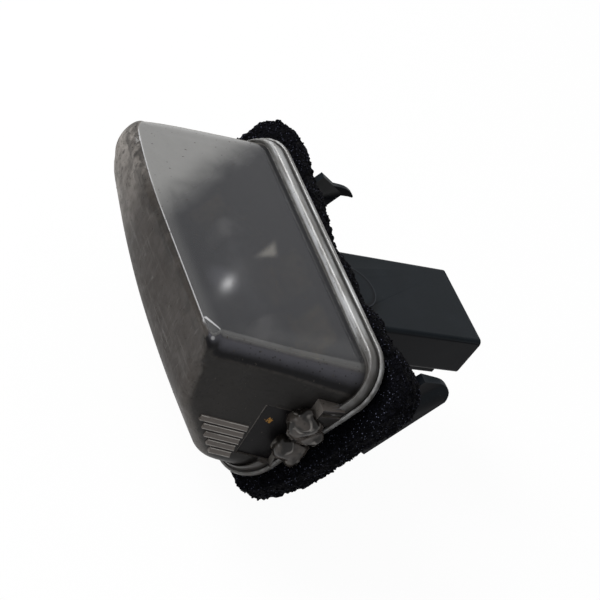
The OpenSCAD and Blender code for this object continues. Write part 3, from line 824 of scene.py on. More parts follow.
@dataclass(frozen=True)
class GrittyFoam(Finish):
    """Near-black open-cell foam, darker in its cells, with pale grit on its walls."""

    name: str = "gritty_foam"
    cell: Colour = (0.0005, 0.0005, 0.0008)
    wall: Colour = (0.0026, 0.0027, 0.0044)
    grit: Colour = (0.115, 0.122, 0.175)

    def shader(self, paint: Paint) -> bpy.types.Node:
        """Returns matt cells with grit."""
        walls = paint.cells(0.62).step(0.25, 0.7) * paint.cells(0.33).step(0.15, 0.6)
        patches = paint.cloud(3.0, 5.0)
        grit = paint.cells(0.56).step(0.26, 0.15) * patches.step(0.36, 0.58)
        colour = paint.layered(self.cell, (walls, self.wall), (grit * 0.8, self.grit))
        bent = paint.bump(walls + grit * 0.6, 0.22)
        return paint.surface(colour, 0.75, Normal=bent, Specular_IOR_Level=0.03)


@dataclass(frozen=True)
class RolledMetal(Finish):
    """Rolled or drawn metal with a fine grain, dulled in patches."""

    colour: Colour
    dull: Colour
    roughness: float = 0.34

    def shader(self, paint: Paint) -> bpy.types.Node:
        """Returns grained metal."""
        patches = paint.cloud(2.4, 5.0)
        grain = paint.cloud(0.2, 3.0, stretch=(0.15, 1.0, 1.0))
        colour = paint.layered(self.colour, (patches.step(0.4, 0.7), self.dull))
        rough = self.roughness + (patches - 0.5) * 0.3 + (grain - 0.5) * 0.1
        return paint.surface(colour, rough, Metallic=1.0, Normal=paint.bump(grain, 0.01))


@dataclass(frozen=True)
class ClearBulbGlass(Finish):
    """Thin clear glass with a breath of haze."""

    name: str = "clear_bulb_glass"
    colour: Colour = (0.96, 0.98, 1.0)

    def shader(self, paint: Paint) -> bpy.types.Node:
        """Returns hazy glass."""
        return paint.clear(self.colour, paint.cloud(4.0, 3.0) * 0.08, IOR=1.47)


@dataclass(frozen=True)
class DriedGlue(Finish):
    """Cloudy dried glue, glossy and uneven, with dirt caught in it."""

    name: str = "dried_glue"
    pale: Colour = (0.062, 0.053, 0.047)
    deep: Colour = (0.0095, 0.0080, 0.0068)
    crest_highlight: Colour = (0.33, 0.31, 0.29)
    dirt: Colour = (0.012, 0.010, 0.008)

    def shader(self, paint: Paint) -> bpy.types.Node:
        """Returns a glossy skin under which light spreads."""
        folds = paint.cloud(2.6, 1.5, 0.3)
        # Painted highlights on the tops of the folds.
        crest_highlight = paint.cloud(2.6, 0.0, 0.5).step(0.55, 0.63) * folds.step(0.60, 0.46)
        colour = paint.layered(
            self.pale,
            (folds.step(0.38, 0.60), self.deep),
            (crest_highlight * 0.75, self.crest_highlight),
            (paint.cells(2.4).step(0.12, 0.06) * 0.5, self.dirt),
        )
        return paint.surface(
            colour, 0.07 + folds * 0.10, Specular_IOR_Level=0.24,
            Subsurface_Weight=0.3, Subsurface_Radius=(1.0, 0.9, 0.8), Subsurface_Scale=0.0006,
        )


@dataclass(frozen=True)
class SootSpeck(Finish):
    """The black specks stuck to the lens."""

    name: str = "soot_speck"
    colour: Colour = (0.012, 0.010, 0.009)
    brown: Colour = (0.05, 0.04, 0.03)

    def shader(self, paint: Paint) -> bpy.types.Node:
        """Returns matt sooty specks."""
        return paint.surface(paint.layered(self.colour, (paint.cloud(1.5, 3.0), self.brown)), 0.7)


class GeometryTree(TreeBuilder):
    """Builds a Geometry Nodes tree with named inputs."""

    def __init__(self, name: str, values: dict[str, float]) -> None:
        """Makes a tree with a geometry input and output and a named input for each value."""
        super().__init__(bpy.data.node_groups.new(name, "GeometryNodeTree"))
        self.values = values
        face = self.tree.interface
        for way in ("INPUT", "OUTPUT"):
            face.new_socket("Geometry", in_out=way, socket_type="NodeSocketGeometry")
        for key, value in values.items():
            kind = "NodeSocketInt" if isinstance(value, int) else "NodeSocketFloat"
            face.new_socket(key, in_out="INPUT", socket_type=kind)
        self.start = self.tree.nodes.new("NodeGroupInput")

    def given(self, name: str) -> Wire:
        """Returns a named input's wire."""
        return Wire(self, self.start.outputs[name])

    def scatter(self, seeds: tuple[int, int], smallest: Colour, largest: Colour) -> Wire:
        """Puts beads on the geometry's faces, by the tree's inputs Density and Radius.

        Args:
            seeds: the seeds of the places and of the sizes.
            smallest: the smallest bead's scale along each axis.
            largest: the largest bead's scale.

        Returns:
            The beads.
        """
        spread = self.node(
            "GeometryNodeDistributePointsOnFaces",
            {0: self.given("Geometry"), "Density": self.given("Density"), "Seed": seeds[0]},
            distribute_method="RANDOM",
        )
        bead = self.wire(
            "GeometryNodeMeshIcoSphere", {"Radius": self.given("Radius"), "Subdivisions": 1}
        )
        size = self.wire(
            "FunctionNodeRandomValue", {0: smallest, 1: largest, "Seed": seeds[1]},
            data_type="FLOAT_VECTOR",
        )
        turn = spread.outputs["Rotation"]
        inputs = {0: spread.outputs[0], "Instance": bead, "Rotation": turn, "Scale": size}
        return self.wire("GeometryNodeInstanceOnPoints", inputs)

    def run(self, piece: bpy.types.Object, made: Wire, material: bpy.types.Material) -> None:
        """Runs the tree on a piece and keeps the result as a plain mesh.

        Args:
            piece: the object that carries the modifier.
            made: the geometry that the piece becomes.
            material: its material.
        """
        real = self.wire("GeometryNodeRealizeInstances", {0: made})
        done = self.wire("GeometryNodeSetMaterial", {0: real, "Material": material})
        self.node("NodeGroupOutput", {0: done})
        step = piece.modifiers.new(self.tree.name, "NODES")
        step.node_group = self.tree
        for item in self.tree.interface.items_tree:
            if item.in_out == "INPUT" and item.name in self.values:
                step[item.identifier] = self.values[item.name]
        apply_modifiers(piece)


@dataclass
class EndFace:
    """The lens's ribbed end face: its ribs, and the pocket of the flat pad beside them."""

    material: bpy.types.Material
    near: float
    draft: float
    pitch: float = 1.6
    count: int = 5
    height: float = 0.52
    sharp: float = 40.0
    length: float = 9.0
    step: float = 1.25
    place: tuple[float, float] = (-17.1, 0.5)
    profile: tuple = (
        (-1.0, 0.62), (-1.0, -0.58), (0.0, -0.58), (0.72, -0.52), (0.92, -0.45), (1.0, -0.34),
        (0.96, -0.22), (0.80, -0.08), (0.45, 0.18), (0.30, 0.34), (0.36, 0.44), (0.34, 0.54), (0.0, 0.62),
    )
    pad_low: float = -5.2
    pad_height: float = 11.6
    pad_far: float = -16.6
    pad_reach: float = 11.7
    pad_start: float = 5.2
    pad_depth: float = 0.35
    pad_cut: float = 3.0

    def spot(self, y: float, z: float) -> Matrix:
        """Returns the place on the ribbed end face at a row Y and Z, in millimetres.

        Local x points out of the face and local z runs outwards, against the row's Y.
        """
        slope = math.tan(math.radians(self.draft))
        above = z * math.sin(FLANGE_TILT) - y * math.cos(FLANGE_TILT) - LIP_Z
        lean = math.atan(slope * math.cos(FLANGE_TILT))
        turn = math.atan(slope * math.sin(FLANGE_TILT) * math.cos(lean))
        place = Matrix.Translation((self.near - slope * above, y, z))
        place = place @ Matrix.Rotation(math.pi / 2, 4, "X") @ Matrix.Rotation(-lean, 4, "Y")
        return place @ Matrix.Rotation(turn, 4, "Z")

    def pad_cutter(self) -> bpy.types.Object:
        """Returns the shallow pocket of the flat pad beside the ribs."""
        place = self.spot(self.pad_far + self.pad_reach, self.pad_low)
        corner = (-self.pad_depth, 0.0, self.pad_start)
        size = (self.pad_cut, self.pad_height, self.pad_reach - self.pad_start)
        return new_block("pad_cutter", corner, size, place)

    def ribs(self) -> bpy.types.Object:
        """Returns the stepped ribs of the end face, laid out by Geometry Nodes."""
        tree = GeometryTree("lens_end_ribs", {
            "Pitch": self.pitch * MM, "Length": self.length * MM,
            "Step": self.step * MM, "Height": self.height * MM, "Count": self.count,
        })
        offset = tree.wire("ShaderNodeCombineXYZ", {"Y": tree.given("Pitch") * -1.0})
        line = tree.wire("GeometryNodeMeshLine", {"Count": tree.given("Count"), "Offset": offset})
        index = tree.wire("GeometryNodeInputIndex", {})
        left = tree.given("Length") - index * tree.given("Step")
        scale = {"X": tree.given("Height"), "Y": 1.0, "Z": left}
        inputs = {
            0: line, "Instance": tree.given("Geometry"),
            "Scale": tree.wire("ShaderNodeCombineXYZ", scale),
        }
        placed = tree.wire("GeometryNodeInstanceOnPoints", inputs)
        count = len(self.profile)
        points = [(x, y * MM, z) for z in (0.0, 1.0) for x, y in self.profile]
        faces = [tuple(reversed(range(count))), tuple(range(count, 2 * count))]
        for i in range(count):
            k = (i + 1) % count
            faces.append((i, k, k + count, i + count))
        piece = new_object("lens_end_ribs", points, faces)
        tree.run(piece, placed, self.material)
        place = self.spot(*self.place)
        place.translation *= MM
        piece.data.transform(place)
        set_sharp(piece, self.sharp)
        return piece


@dataclass
class SlottedBlock:
    """The small slotted block that stands on the rim at the ribbed end."""

    near: float
    low: tuple[float, float] = (-8.6, 6.6)
    reach: float = 32.8
    width: float = 4.7
    height: float = 3.8
    sunk: float = 1.8
    edge: float = 0.1
    slot_low: Colour = (31.4, -8.3, 8.7)
    slot_size: Colour = (4.0, 4.7, 1.1)

    def make(self) -> bpy.types.Object:
        """Returns the block with its slot cut and its edges rounded."""
        low = (self.near - self.sunk, *self.low)
        size = (self.reach - low[0], self.width, self.height)
        body = new_block("slotted_block", low, size, Matrix())
        slot = new_block("slot", self.slot_low, self.slot_size, Matrix())
        cut_or_join(body, slot, "DIFFERENCE")
        round_edges(body, self.edge)
        return body


@dataclass
class LensSpecks:
    """Small black specks that stick to the lens."""

    material: bpy.types.Material
    clearance: float = 2.5
    density: float = 70000.0
    radius: float = 0.10
    seeds: tuple[int, int] = (11, 5)
    scales: tuple[Colour, Colour] = ((0.4, 0.4, 0.2), (1.2, 2.8, 0.5))
    axis_z: float = 12.0
    lean: float = 0.3

    def make(self, shell: bpy.types.Object) -> bpy.types.Object:
        """Scatters the specks over the lens's outer side by Geometry Nodes.

        Args:
            shell: the lens that carries them.

        Returns:
            The specks.
        """
        piece = add_object("lens_specks", shell.data.copy())
        keep = bmesh.new()
        keep.from_mesh(piece.data)
        turn = np.array(flange_axes())
        gone = []
        for face in keep.faces:
            local = turn.T @ np.array(face.calc_center_median()) / MM
            outward = Vector((local[0] * self.lean, local[1], local[2] - self.axis_z))
            if local[2] < LIP_Z + self.clearance or face.normal.dot(outward) < 0:
                gone.append(face)
        bmesh.ops.delete(keep, geom=gone, context="FACES")
        keep.to_mesh(piece.data)
        keep.free()
        values = {"Density": self.density, "Radius": self.radius * MM}
        tree = GeometryTree("lens_specks", values)
        beads = tree.scatter(self.seeds, *self.scales)
        tree.run(piece, beads, self.material)
        return piece


@dataclass
class LensShell:
    """The moulded lens: a hollow wedge with a ridge, a rounded far end and a beaded rim."""

    material: bpy.types.Material
    rim_material: bpy.types.Material
    inner_material: bpy.types.Material
    rib_material: bpy.types.Material
    length: float = 66.0
    width: float = 35.3
    corner: float = 8.5
    near_rim: float = 1.9
    far_rim: float = 1.3
    window_rim: float = 2.55
    lower_rim: float = 2.05
    wall: float = 2.0
    ridge_h: float = 28.7
    ridge_y: float = 0.6
    shoulder_h: float = 20.1
    shoulder_in: float = 3.95
    flank_h: float = 6.5
    flank_out: float = 2.25
    near_draft: float = 12.0
    far_draft: float = 3.7
    foot_r: float = 5.5
    edge_r: tuple[float, float, float, float] = (4.2, 3.0, 5.0, 3.0)
    corner_shares: tuple[float, float, float] = (0.68, 0.49, 0.98)
    corner_speed: float = 2.1
    corner_inset: float = 0.5
    flank_soft: float = 1.6
    window_inset: float = 1.12
    lower_inset: float = 0.53
    near_round: float = 4.2
    far_round: float = 7.5
    bow: float = 1.35
    lean: float = 4.1
    fullness: float = 3.0
    full_height: float = 25.0
    full_spread: float = 3.97
    ridge_drop: float = 2.7
    drop_start: float = 4.0
    ridge_cap: float = 0.4
    ridge_edge: float = 0.38
    ridge_turns: tuple[int, ...] = (15, 30, 45, 60, 75, 90)
    roof: float = 1.47
    foot_share: float = 0.6
    foot_gap: float = 0.08
    foot_shade_and_grime: float = 0.9
    foot_fade: float = 1.6
    level_spacing: float = 1.25
    lip_width: float = 0.8
    bead_height: float = 1.5
    arc_steps: int = 12
    side_steps: int = 44
    end_steps: int = 14
    outer_layers: int = 56
    inner_layers: int = 18
    shell_sharp: float = 32.0

    def __post_init__(self) -> None:
        """Works out the reach of the lens body at its foot."""
        self.near = self.length / 2 - self.near_rim
        self.far = self.length / 2 - self.far_rim
        self.window = self.width / 2 - self.window_rim
        self.lower = self.width / 2 - self.lower_rim

    def lower_side(self, h: float) -> float:
        """Returns the softened reach of the lower side at a height."""
        heights = (0.0, self.flank_h, self.shoulder_h, self.ridge_h)
        reaches = (
            -self.lower, -self.lower - self.flank_out, self.shoulder_in - self.lower, self.ridge_y
        )
        soft = min(self.flank_soft, max(0.0, self.ridge_h - h))
        near = [h - soft, h - soft / 2, h, h + soft / 2, h + soft]
        return float(np.mean(np.interp(near, heights, reaches)))

    def level_box(self, h: float, inset: float) -> tuple[float, float, float, float]:
        """Returns a level's near, far, window and lower limits, drawn in by an inset."""
        window = self.window + (self.ridge_y - self.window) * h / self.ridge_h
        window -= self.window_inset * inset
        lower = self.lower_side(h + self.lower_inset * inset) + inset

        def drawn_in(radius: float) -> float:
            """Returns how far an edge's radius draws the end of a narrow level in."""
            share = min(1.0, max(0.0, window - lower) / radius)
            return radius * (1 - math.sqrt(1 - (1 - share) ** 2))

        near = self.near - math.tan(math.radians(self.near_draft)) * h - inset
        far = -self.far + math.tan(math.radians(self.far_draft)) * h + inset
        near -= drawn_in(self.near_round - self.corner_inset * inset)
        far += drawn_in(self.far_round - self.corner_inset * inset)
        return near, far, window, lower

    def level_radii(self, h: float, inset: float, span: float) -> list[float]:
        """Returns the radii of a level's four corners."""
        k = min(1.0, h / self.ridge_h)
        fast = min(1.0, self.corner_speed * k)
        drawn = self.corner_inset * inset
        steps = zip(self.edge_r, (fast, k, k, fast))
        plain = [self.foot_r + (edge - self.foot_r) * share - drawn for edge, share in steps]
        near_share, far_share, side_share = self.corner_shares
        near_up = min(plain[0], near_share * span)
        far_up = min(plain[1], far_share * span)
        far_down = min(plain[2], side_share * span - far_up)
        near_down = min(plain[3], side_share * span - near_up)
        return [max(0.05, r) for r in (near_up, far_up, far_down, near_down)]

    def outline(self, box: Sequence[float], radii: Sequence[float]) -> np.ndarray:
        """Draws one closed level with rounded corners.

        Args:
            box: near, far, window and lower limits.
            radii: radii of the corners near-window, far-window, far-lower and near-lower.

        Returns:
            An array of x, y rows, from the near window corner round.
        """
        near, far, window, lower = box
        r = radii
        centres = (
            (near - r[0], window - r[0]), (far + r[1], window - r[1]),
            (far + r[2], lower + r[2]), (near - r[3], lower + r[3]),
        )
        arcs = []
        for i, (cx, cy) in enumerate(centres):
            turn = np.radians(90 * i + np.linspace(0, 90, self.arc_steps + 1))
            arcs.append(np.c_[cx + r[i] * np.cos(turn), cy + r[i] * np.sin(turn)])
        points = []
        steps = (self.side_steps, self.end_steps, self.side_steps, self.end_steps)
        for i in range(4):
            points.append(arcs[i])
            start, stop = arcs[i][-1], arcs[(i + 1) % 4][0]
            share = np.linspace(0, 1, steps[i] + 1)[1:-1, None]
            points.append(start + (stop - start) * share)
        return np.concatenate(points)

    def level(self, h: float, inset: float) -> np.ndarray:
        """Returns a level's points in the flange's frame, with the body's bow and rounding."""
        box = self.level_box(h, inset)
        near, far, window, lower = box
        flat = self.outline(box, self.level_radii(h, inset, window - lower))
        x, y = flat[:, 0], flat[:, 1]
        k = min(1.0, h / self.ridge_h)
        swell = math.sin(math.pi * k)
        mid, half = (near + far) / 2, (near - far) / 2
        across = np.clip((window - y) / max(0.1, window - lower), 0, 1)
        along = (near - x) / (near - far)
        y = y - self.bow * swell * (1 - ((x - mid) / half) ** 2) * across**1.5
        y = y + self.lean * swell * across * along**2
        full = self.fullness * math.exp(-(((h - self.full_height) / self.full_spread) ** 2))
        y = y - full * across * along**2
        past = np.maximum(0.0, -self.drop_start - x) / (self.far - self.drop_start)
        shrink = 1 - self.ridge_drop * past**2 / self.ridge_h * k**5
        return np.c_[x, self.window + (y - self.window) * shrink, LIP_Z + h * shrink]

    def rim_ring(self, inset: float, z: float) -> np.ndarray:
        """Returns the rim's outline drawn in by an inset, at a height in the flange's frame."""
        box = (
            self.length / 2 - inset, inset - self.length / 2,
            self.width / 2 - inset, inset - self.width / 2,
        )
        flat = self.outline(box, [self.corner - inset] * 4)
        return np.c_[flat, np.full(len(flat), z)]

    def rim_rings(self) -> tuple[list[np.ndarray], list[float]]:
        """Returns the rings of the lip, its groove and the bead, from the rear outwards.

        Returns:
            The rings, and how much painted shade with dirt lies on each.
        """
        lip = self.lip_width
        # Each step gives a ring's inset, its height and how much painted shade with dirt it carries.
        steps = (
            (0.12, RIM_Z, 0.6), (0.0, RIM_Z + 0.12, 0.5), (0.0, LIP_Z - 0.28, 0.15),
            (0.05, LIP_Z - 0.12, 0.0), (0.14, LIP_Z - 0.03, 0.0), (0.28, LIP_Z, 0.0),
            (lip - 0.42, LIP_Z, 0.1), (lip - 0.33, LIP_Z - 0.06, 0.5), (lip - 0.3, LIP_Z - 0.45, 1.0),
            (lip - 0.04, LIP_Z - 0.45, 1.0), (lip, LIP_Z - 0.3, 0.9),
        )
        rings = [self.rim_ring(inset, z) for inset, z, _ in steps]
        dirt = [grime_and_shade for _, _, grime_and_shade in steps]
        start = self.rim_ring(lip, LIP_Z)
        foot = self.level(self.foot_share * self.bead_height, 0.0)
        bead = (
            (0.0, 0.25, 0.6), (0.02, 0.5, 0.25), (0.07, 0.70, 0.1), (0.15, 0.86, 0.0), (0.25, 0.96, 0.0),
            (0.36, 1.0, 0.0), (0.48, 0.985, 0.0), (0.6, 0.92, 0.0), (0.7, 0.81, 0.1), (0.79, 0.66, 0.4),
            (0.86, 0.57, 0.8), (0.93, 0.55, 0.9),
        )
        for share, height, grime_and_shade in bead:
            ring = start + (foot - start) * share
            ring[:, 2] = LIP_Z + self.bead_height * height
            rings.append(ring)
            dirt.append(grime_and_shade)
        return rings, dirt

    def shell(self) -> bpy.types.Object:
        """Builds the closed shell, from the top of the hollow out over the rim to the ridge.

        Returns:
            The shell, with the rim's faces in its second material and its inside in its third.
        """
        top = self.ridge_h - self.ridge_cap
        hollow_top = top - self.roof * self.wall
        inner = [self.level(h, self.wall) for h in np.linspace(hollow_top, 0, self.inner_layers + 1)]
        under = inner[-1].copy()
        under[:, 2] = RIM_Z
        rim, dirt = self.rim_rings()
        edge = self.ridge_edge
        rise = 1 - (1 - np.linspace(0, 1, self.outer_layers)) ** self.level_spacing
        start = self.foot_share * self.bead_height + self.foot_gap
        outer = [self.level(start + (top - edge - start) * k, 0.0) for k in rise]
        for turn in np.radians(self.ridge_turns):
            outer.append(self.level(top - edge + edge * math.sin(turn), edge * (1 - math.cos(turn))))
        rings = [*inner, under, *rim, *outer]
        # Painted shade with dirt that fades up the body from the bead's foot.
        foot_shade_and_dirt = [self.foot_shade_and_grime * math.exp(-i / self.foot_fade) for i in range(len(outer))]
        grime_and_shade = [0.0] * (len(inner) + 1) + dirt + foot_shade_and_dirt
        count = len(rings[0])
        faces = []
        for i in range(len(rings) - 1):
            for j in range(count):
                k = (j + 1) % count
                faces.append((i * count + j, i * count + k, (i + 1) * count + k, (i + 1) * count + j))
        sides = len(faces)
        faces.extend(self.cap(0, count, False))
        top_faces = len(faces)
        faces.extend(self.cap((len(rings) - 1) * count, count, True))
        piece = new_object("lens_shell", to_row(np.concatenate(rings)), faces)
        # The rings' painted shade with dirt is kept on the mesh for the finishes.
        layer = piece.data.attributes.new("grime_and_shade", "FLOAT", "POINT")
        layer.data.foreach_set("value", np.repeat(grime_and_shade, count))
        dress(piece, self.material, self.rim_material, self.inner_material)
        first, last = len(inner), len(inner) + len(rim)
        for face in piece.data.polygons:
            ring = face.index // count
            if face.index >= sides:
                zone = Zone.BODY if face.index >= top_faces else Zone.INSIDE
            elif ring < first:
                zone = Zone.INSIDE
            else:
                zone = Zone.RIM if ring <= last else Zone.BODY
            face.material_index = zone.value
        return piece

    def cap(self, start: int, count: int, outward: bool) -> list[tuple[int, ...]]:
        """Closes one end ring by strips between its window side and its lower side.

        Args:
            start: the number of the ring's first point.
            count: the number of points in a ring.
            outward: whether the ring is the outer one.

        Returns:
            The faces.
        """
        chain = 2 * self.arc_steps + self.side_steps + 1
        ends = self.end_steps - 1
        upper = list(range(chain))
        lower = [count - 1 - ends - k for k in range(chain)]
        near_side = [count - 1 - k for k in range(ends)]
        far_side = [chain + k for k in range(ends)]
        faces = [[upper[1], upper[0], *near_side, lower[0], lower[1]]]
        faces += [[upper[k + 1], upper[k], lower[k], lower[k + 1]] for k in range(1, chain - 2)]
        faces.append([upper[-1], upper[-2], lower[-2], lower[-1], *reversed(far_side)])
        if outward:
            faces = [list(reversed(face)) for face in faces]
        return [tuple(start + v for v in reversed(face)) for face in faces]

    def build(self) -> None:
        """Makes the lens, its ribs and its specks, and hides the plain solid."""
        shell = self.shell()
        end = EndFace(self.rib_material, self.near, self.near_draft)
        cut_or_join(shell, end.pad_cutter(), "DIFFERENCE")
        cut_or_join(shell, SlottedBlock(self.near).make(), "UNION")
        set_sharp(shell, self.shell_sharp)
        specks = LensSpecks(SootSpeck().make()).make(shell)
        ribs = end.ribs()
        for piece in (shell, ribs, specks):
            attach(piece, BODY)
            log.info("%s %d faces", piece.name, len(piece.data.polygons))
        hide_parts("lens")


@dataclass
class Housing:
    """The black moulding: tub, flange, plug socket, hooks and catches."""

    material: bpy.types.Material
    edge_material: bpy.types.Material
    edge: float = 0.22

    def build(self) -> None:
        """Rounds the moulding's edges and dresses it."""
        body = merged_copy("housing", "housing_moulding")
        dress(body, self.material, self.edge_material)
        round_edges(body, self.edge, edge_slot=1)
        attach(body, BODY)
        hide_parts("housing")
        log.info("housing moulding %d faces", len(body.data.polygons))


@dataclass
class FoamSeal:
    """The foam ring, with crumbled edges and loose crumbs of foam on it."""

    material: bpy.types.Material
    voxel: float = 0.34
    lumps: tuple = ((2.6, 0.34), (0.9, 0.30), (0.45, 0.26))
    lump_seed: float = 4.0
    crumb: float = 0.24
    density: float = 420000.0
    crumb_seeds: tuple[int, int] = (3, 8)
    crumb_scales: tuple[Colour, Colour] = ((0.4, 0.4, 0.4), (1.3, 1.3, 1.5))
    dent_middle: float = 9.2
    dent_half: float = 6.6
    dent_depth: float = 1.3
    dent_side: float = 14.0
    dent_rise: float = 3.5

    def press(self, ring: bpy.types.Object) -> None:
        """Presses the ring's long side in beside the boss, as old foam is."""
        across = Vector((0.0, math.sin(FLANGE_TILT), math.cos(FLANGE_TILT)))
        for vertex in ring.data.vertices:
            place = vertex.co / MM
            near = max(0.0, 1.0 - ((place.x - self.dent_middle) / self.dent_half) ** 2) ** 2
            side = min(1.0, max(0.0, (place.dot(across) - self.dent_side) / self.dent_rise))
            vertex.co -= across * (near * side * self.dent_depth * MM)

    def crumbs(self, ring: bpy.types.Object) -> None:
        """Scatters crumbs over the ring and joins them to it, by Geometry Nodes."""
        tree = GeometryTree("foam_crumbs", {"Density": self.density, "Radius": self.crumb * MM})
        crumbs = tree.scatter(self.crumb_seeds, *self.crumb_scales)
        both = tree.node("GeometryNodeJoinGeometry", {0: crumbs})
        tree.tree.links.new(tree.given("Geometry").socket, both.inputs[0])
        tree.run(ring, Wire(tree, both.outputs[0]), self.material)

    def build(self) -> None:
        """Makes the ring rough and dresses it."""
        ring = merged_copy("foam_seal", "foam_ring")
        rebuild(ring, self.voxel)
        shake(ring, self.lumps, self.lump_seed)
        self.press(ring)
        self.crumbs(ring)
        dress(ring, self.material)
        ring.data.shade_smooth()
        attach(ring, BODY)
        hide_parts("foam_seal")
        log.info("foam ring %d faces", len(ring.data.polygons))


@dataclass
class GlueLumps:
    """The two dried lumps on the rim."""

    material: bpy.types.Material
    flat_angle: float = 0.01
    voxel: float = 0.22
    folds: tuple = ((3.2, 0.8), (1.5, 0.25))
    fold_seed: float = 9.0
    facets: int = 84
    crease: float = 0.15
    smoothing: int = 3

    def build(self) -> None:
        """Makes each lump crinkled and dresses it."""
        for order, node in enumerate(("glue_lump_upper", "glue_lump_lower")):
            lump = merged_copy(node, node + "_crinkled", self.flat_angle)
            rebuild(lump, self.voxel)
            shake(lump, self.folds, self.fold_seed + order)
            modify(lump, "DECIMATE", ratio=self.facets / len(lump.data.polygons) / 2)
            creases = lump.data.attributes.new("crease_edge", "FLOAT", "EDGE")
            creases.data.foreach_set("value", [self.crease] * len(lump.data.edges))
            modify(lump, "SUBSURF", levels=self.smoothing, render_levels=self.smoothing)
            dress(lump, self.material)
            lump.data.shade_smooth()
            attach(lump, BODY)
            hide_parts(node)
            log.info("%s %d faces", lump.name, len(lump.data.polygons))


@dataclass
class Bulb:
    """The festoon bulb: glass, caps, leads and a coiled filament."""

    glass: bpy.types.Material
    cap: bpy.types.Material
    wire: bpy.types.Material
    solder: bpy.types.Material
    axis_z: float = 9.5
    filament_length: float = 9.0
    coil_radius: float = 0.55
    wire_radius: float = 0.09
    turns: float = 22.0
    turn_steps: int = 16
    wire_sides: int = 6

    def filament(self) -> bpy.types.Object:
        """Returns the coiled filament, wound along the bulb's axis by Geometry Nodes."""
        tree = GeometryTree("filament_coil", {
            "Turns": self.turns, "Coil radius": self.coil_radius * MM,
            "Length": self.filament_length * MM, "Wire radius": self.wire_radius * MM,
        })
        radius = tree.given("Coil radius")
        spiral = tree.wire("GeometryNodeCurveSpiral", {
            "Resolution": self.turn_steps, "Rotations": tree.given("Turns"),
            "Start Radius": radius, "End Radius": radius, "Height": tree.given("Length"),
        })
        section = tree.wire(
            "GeometryNodeCurvePrimitiveCircle",
            {"Resolution": self.wire_sides, "Radius": tree.given("Wire radius")}, mode="RADIUS",
        )
        drawn = tree.wire("GeometryNodeCurveToMesh", {0: spiral, 1: section, "Fill Caps": True})
        coil = new_object("filament_coil", [(0, 0, 0)], [])
        tree.run(coil, drawn, self.wire)
        centre = to_row(np.array([[-self.filament_length / 2, 0.0, self.axis_z]]))[0]
        coil.data.transform(Matrix.Translation(centre) @ Matrix.Rotation(math.pi / 2, 4, "Y"))
        coil.data.shade_smooth()
        return coil

    def build(self) -> None:
        """Makes the filament and dresses the bulb's solids."""
        coil = self.filament()
        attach(coil, BODY)
        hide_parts("bulb_filament")
        dress_nodes({
            "bulb_glass": self.glass, "bulb_cap_left": self.cap, "bulb_cap_right": self.cap,
            "bulb_lead_left": self.wire, "bulb_lead_right": self.wire,
            "bulb_solder_left": self.solder, "bulb_solder_right": self.solder,
        })
        log.info("bulb with a coil of %d faces", len(coil.data.polygons))


@dataclass
class Contacts:
    """Springs, terminal strips and rivets."""

    brass: bpy.types.Material
    plated: bpy.types.Material
    edge: float = 0.12

    def build(self) -> None:
        """Rounds the strips' edges and dresses every contact."""
        for side in ("left", "right"):
            strip = merged_copy(f"terminal_strip_{side}", f"brass_strip_{side}")
            round_edges(strip, self.edge)
            dress(strip, self.brass)
            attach(strip, BODY)
            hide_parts(f"terminal_strip_{side}")
            dress_nodes({f"contact_spring_{side}": self.brass, f"rivet_{side}": self.plated})
        log.info("contacts dressed")


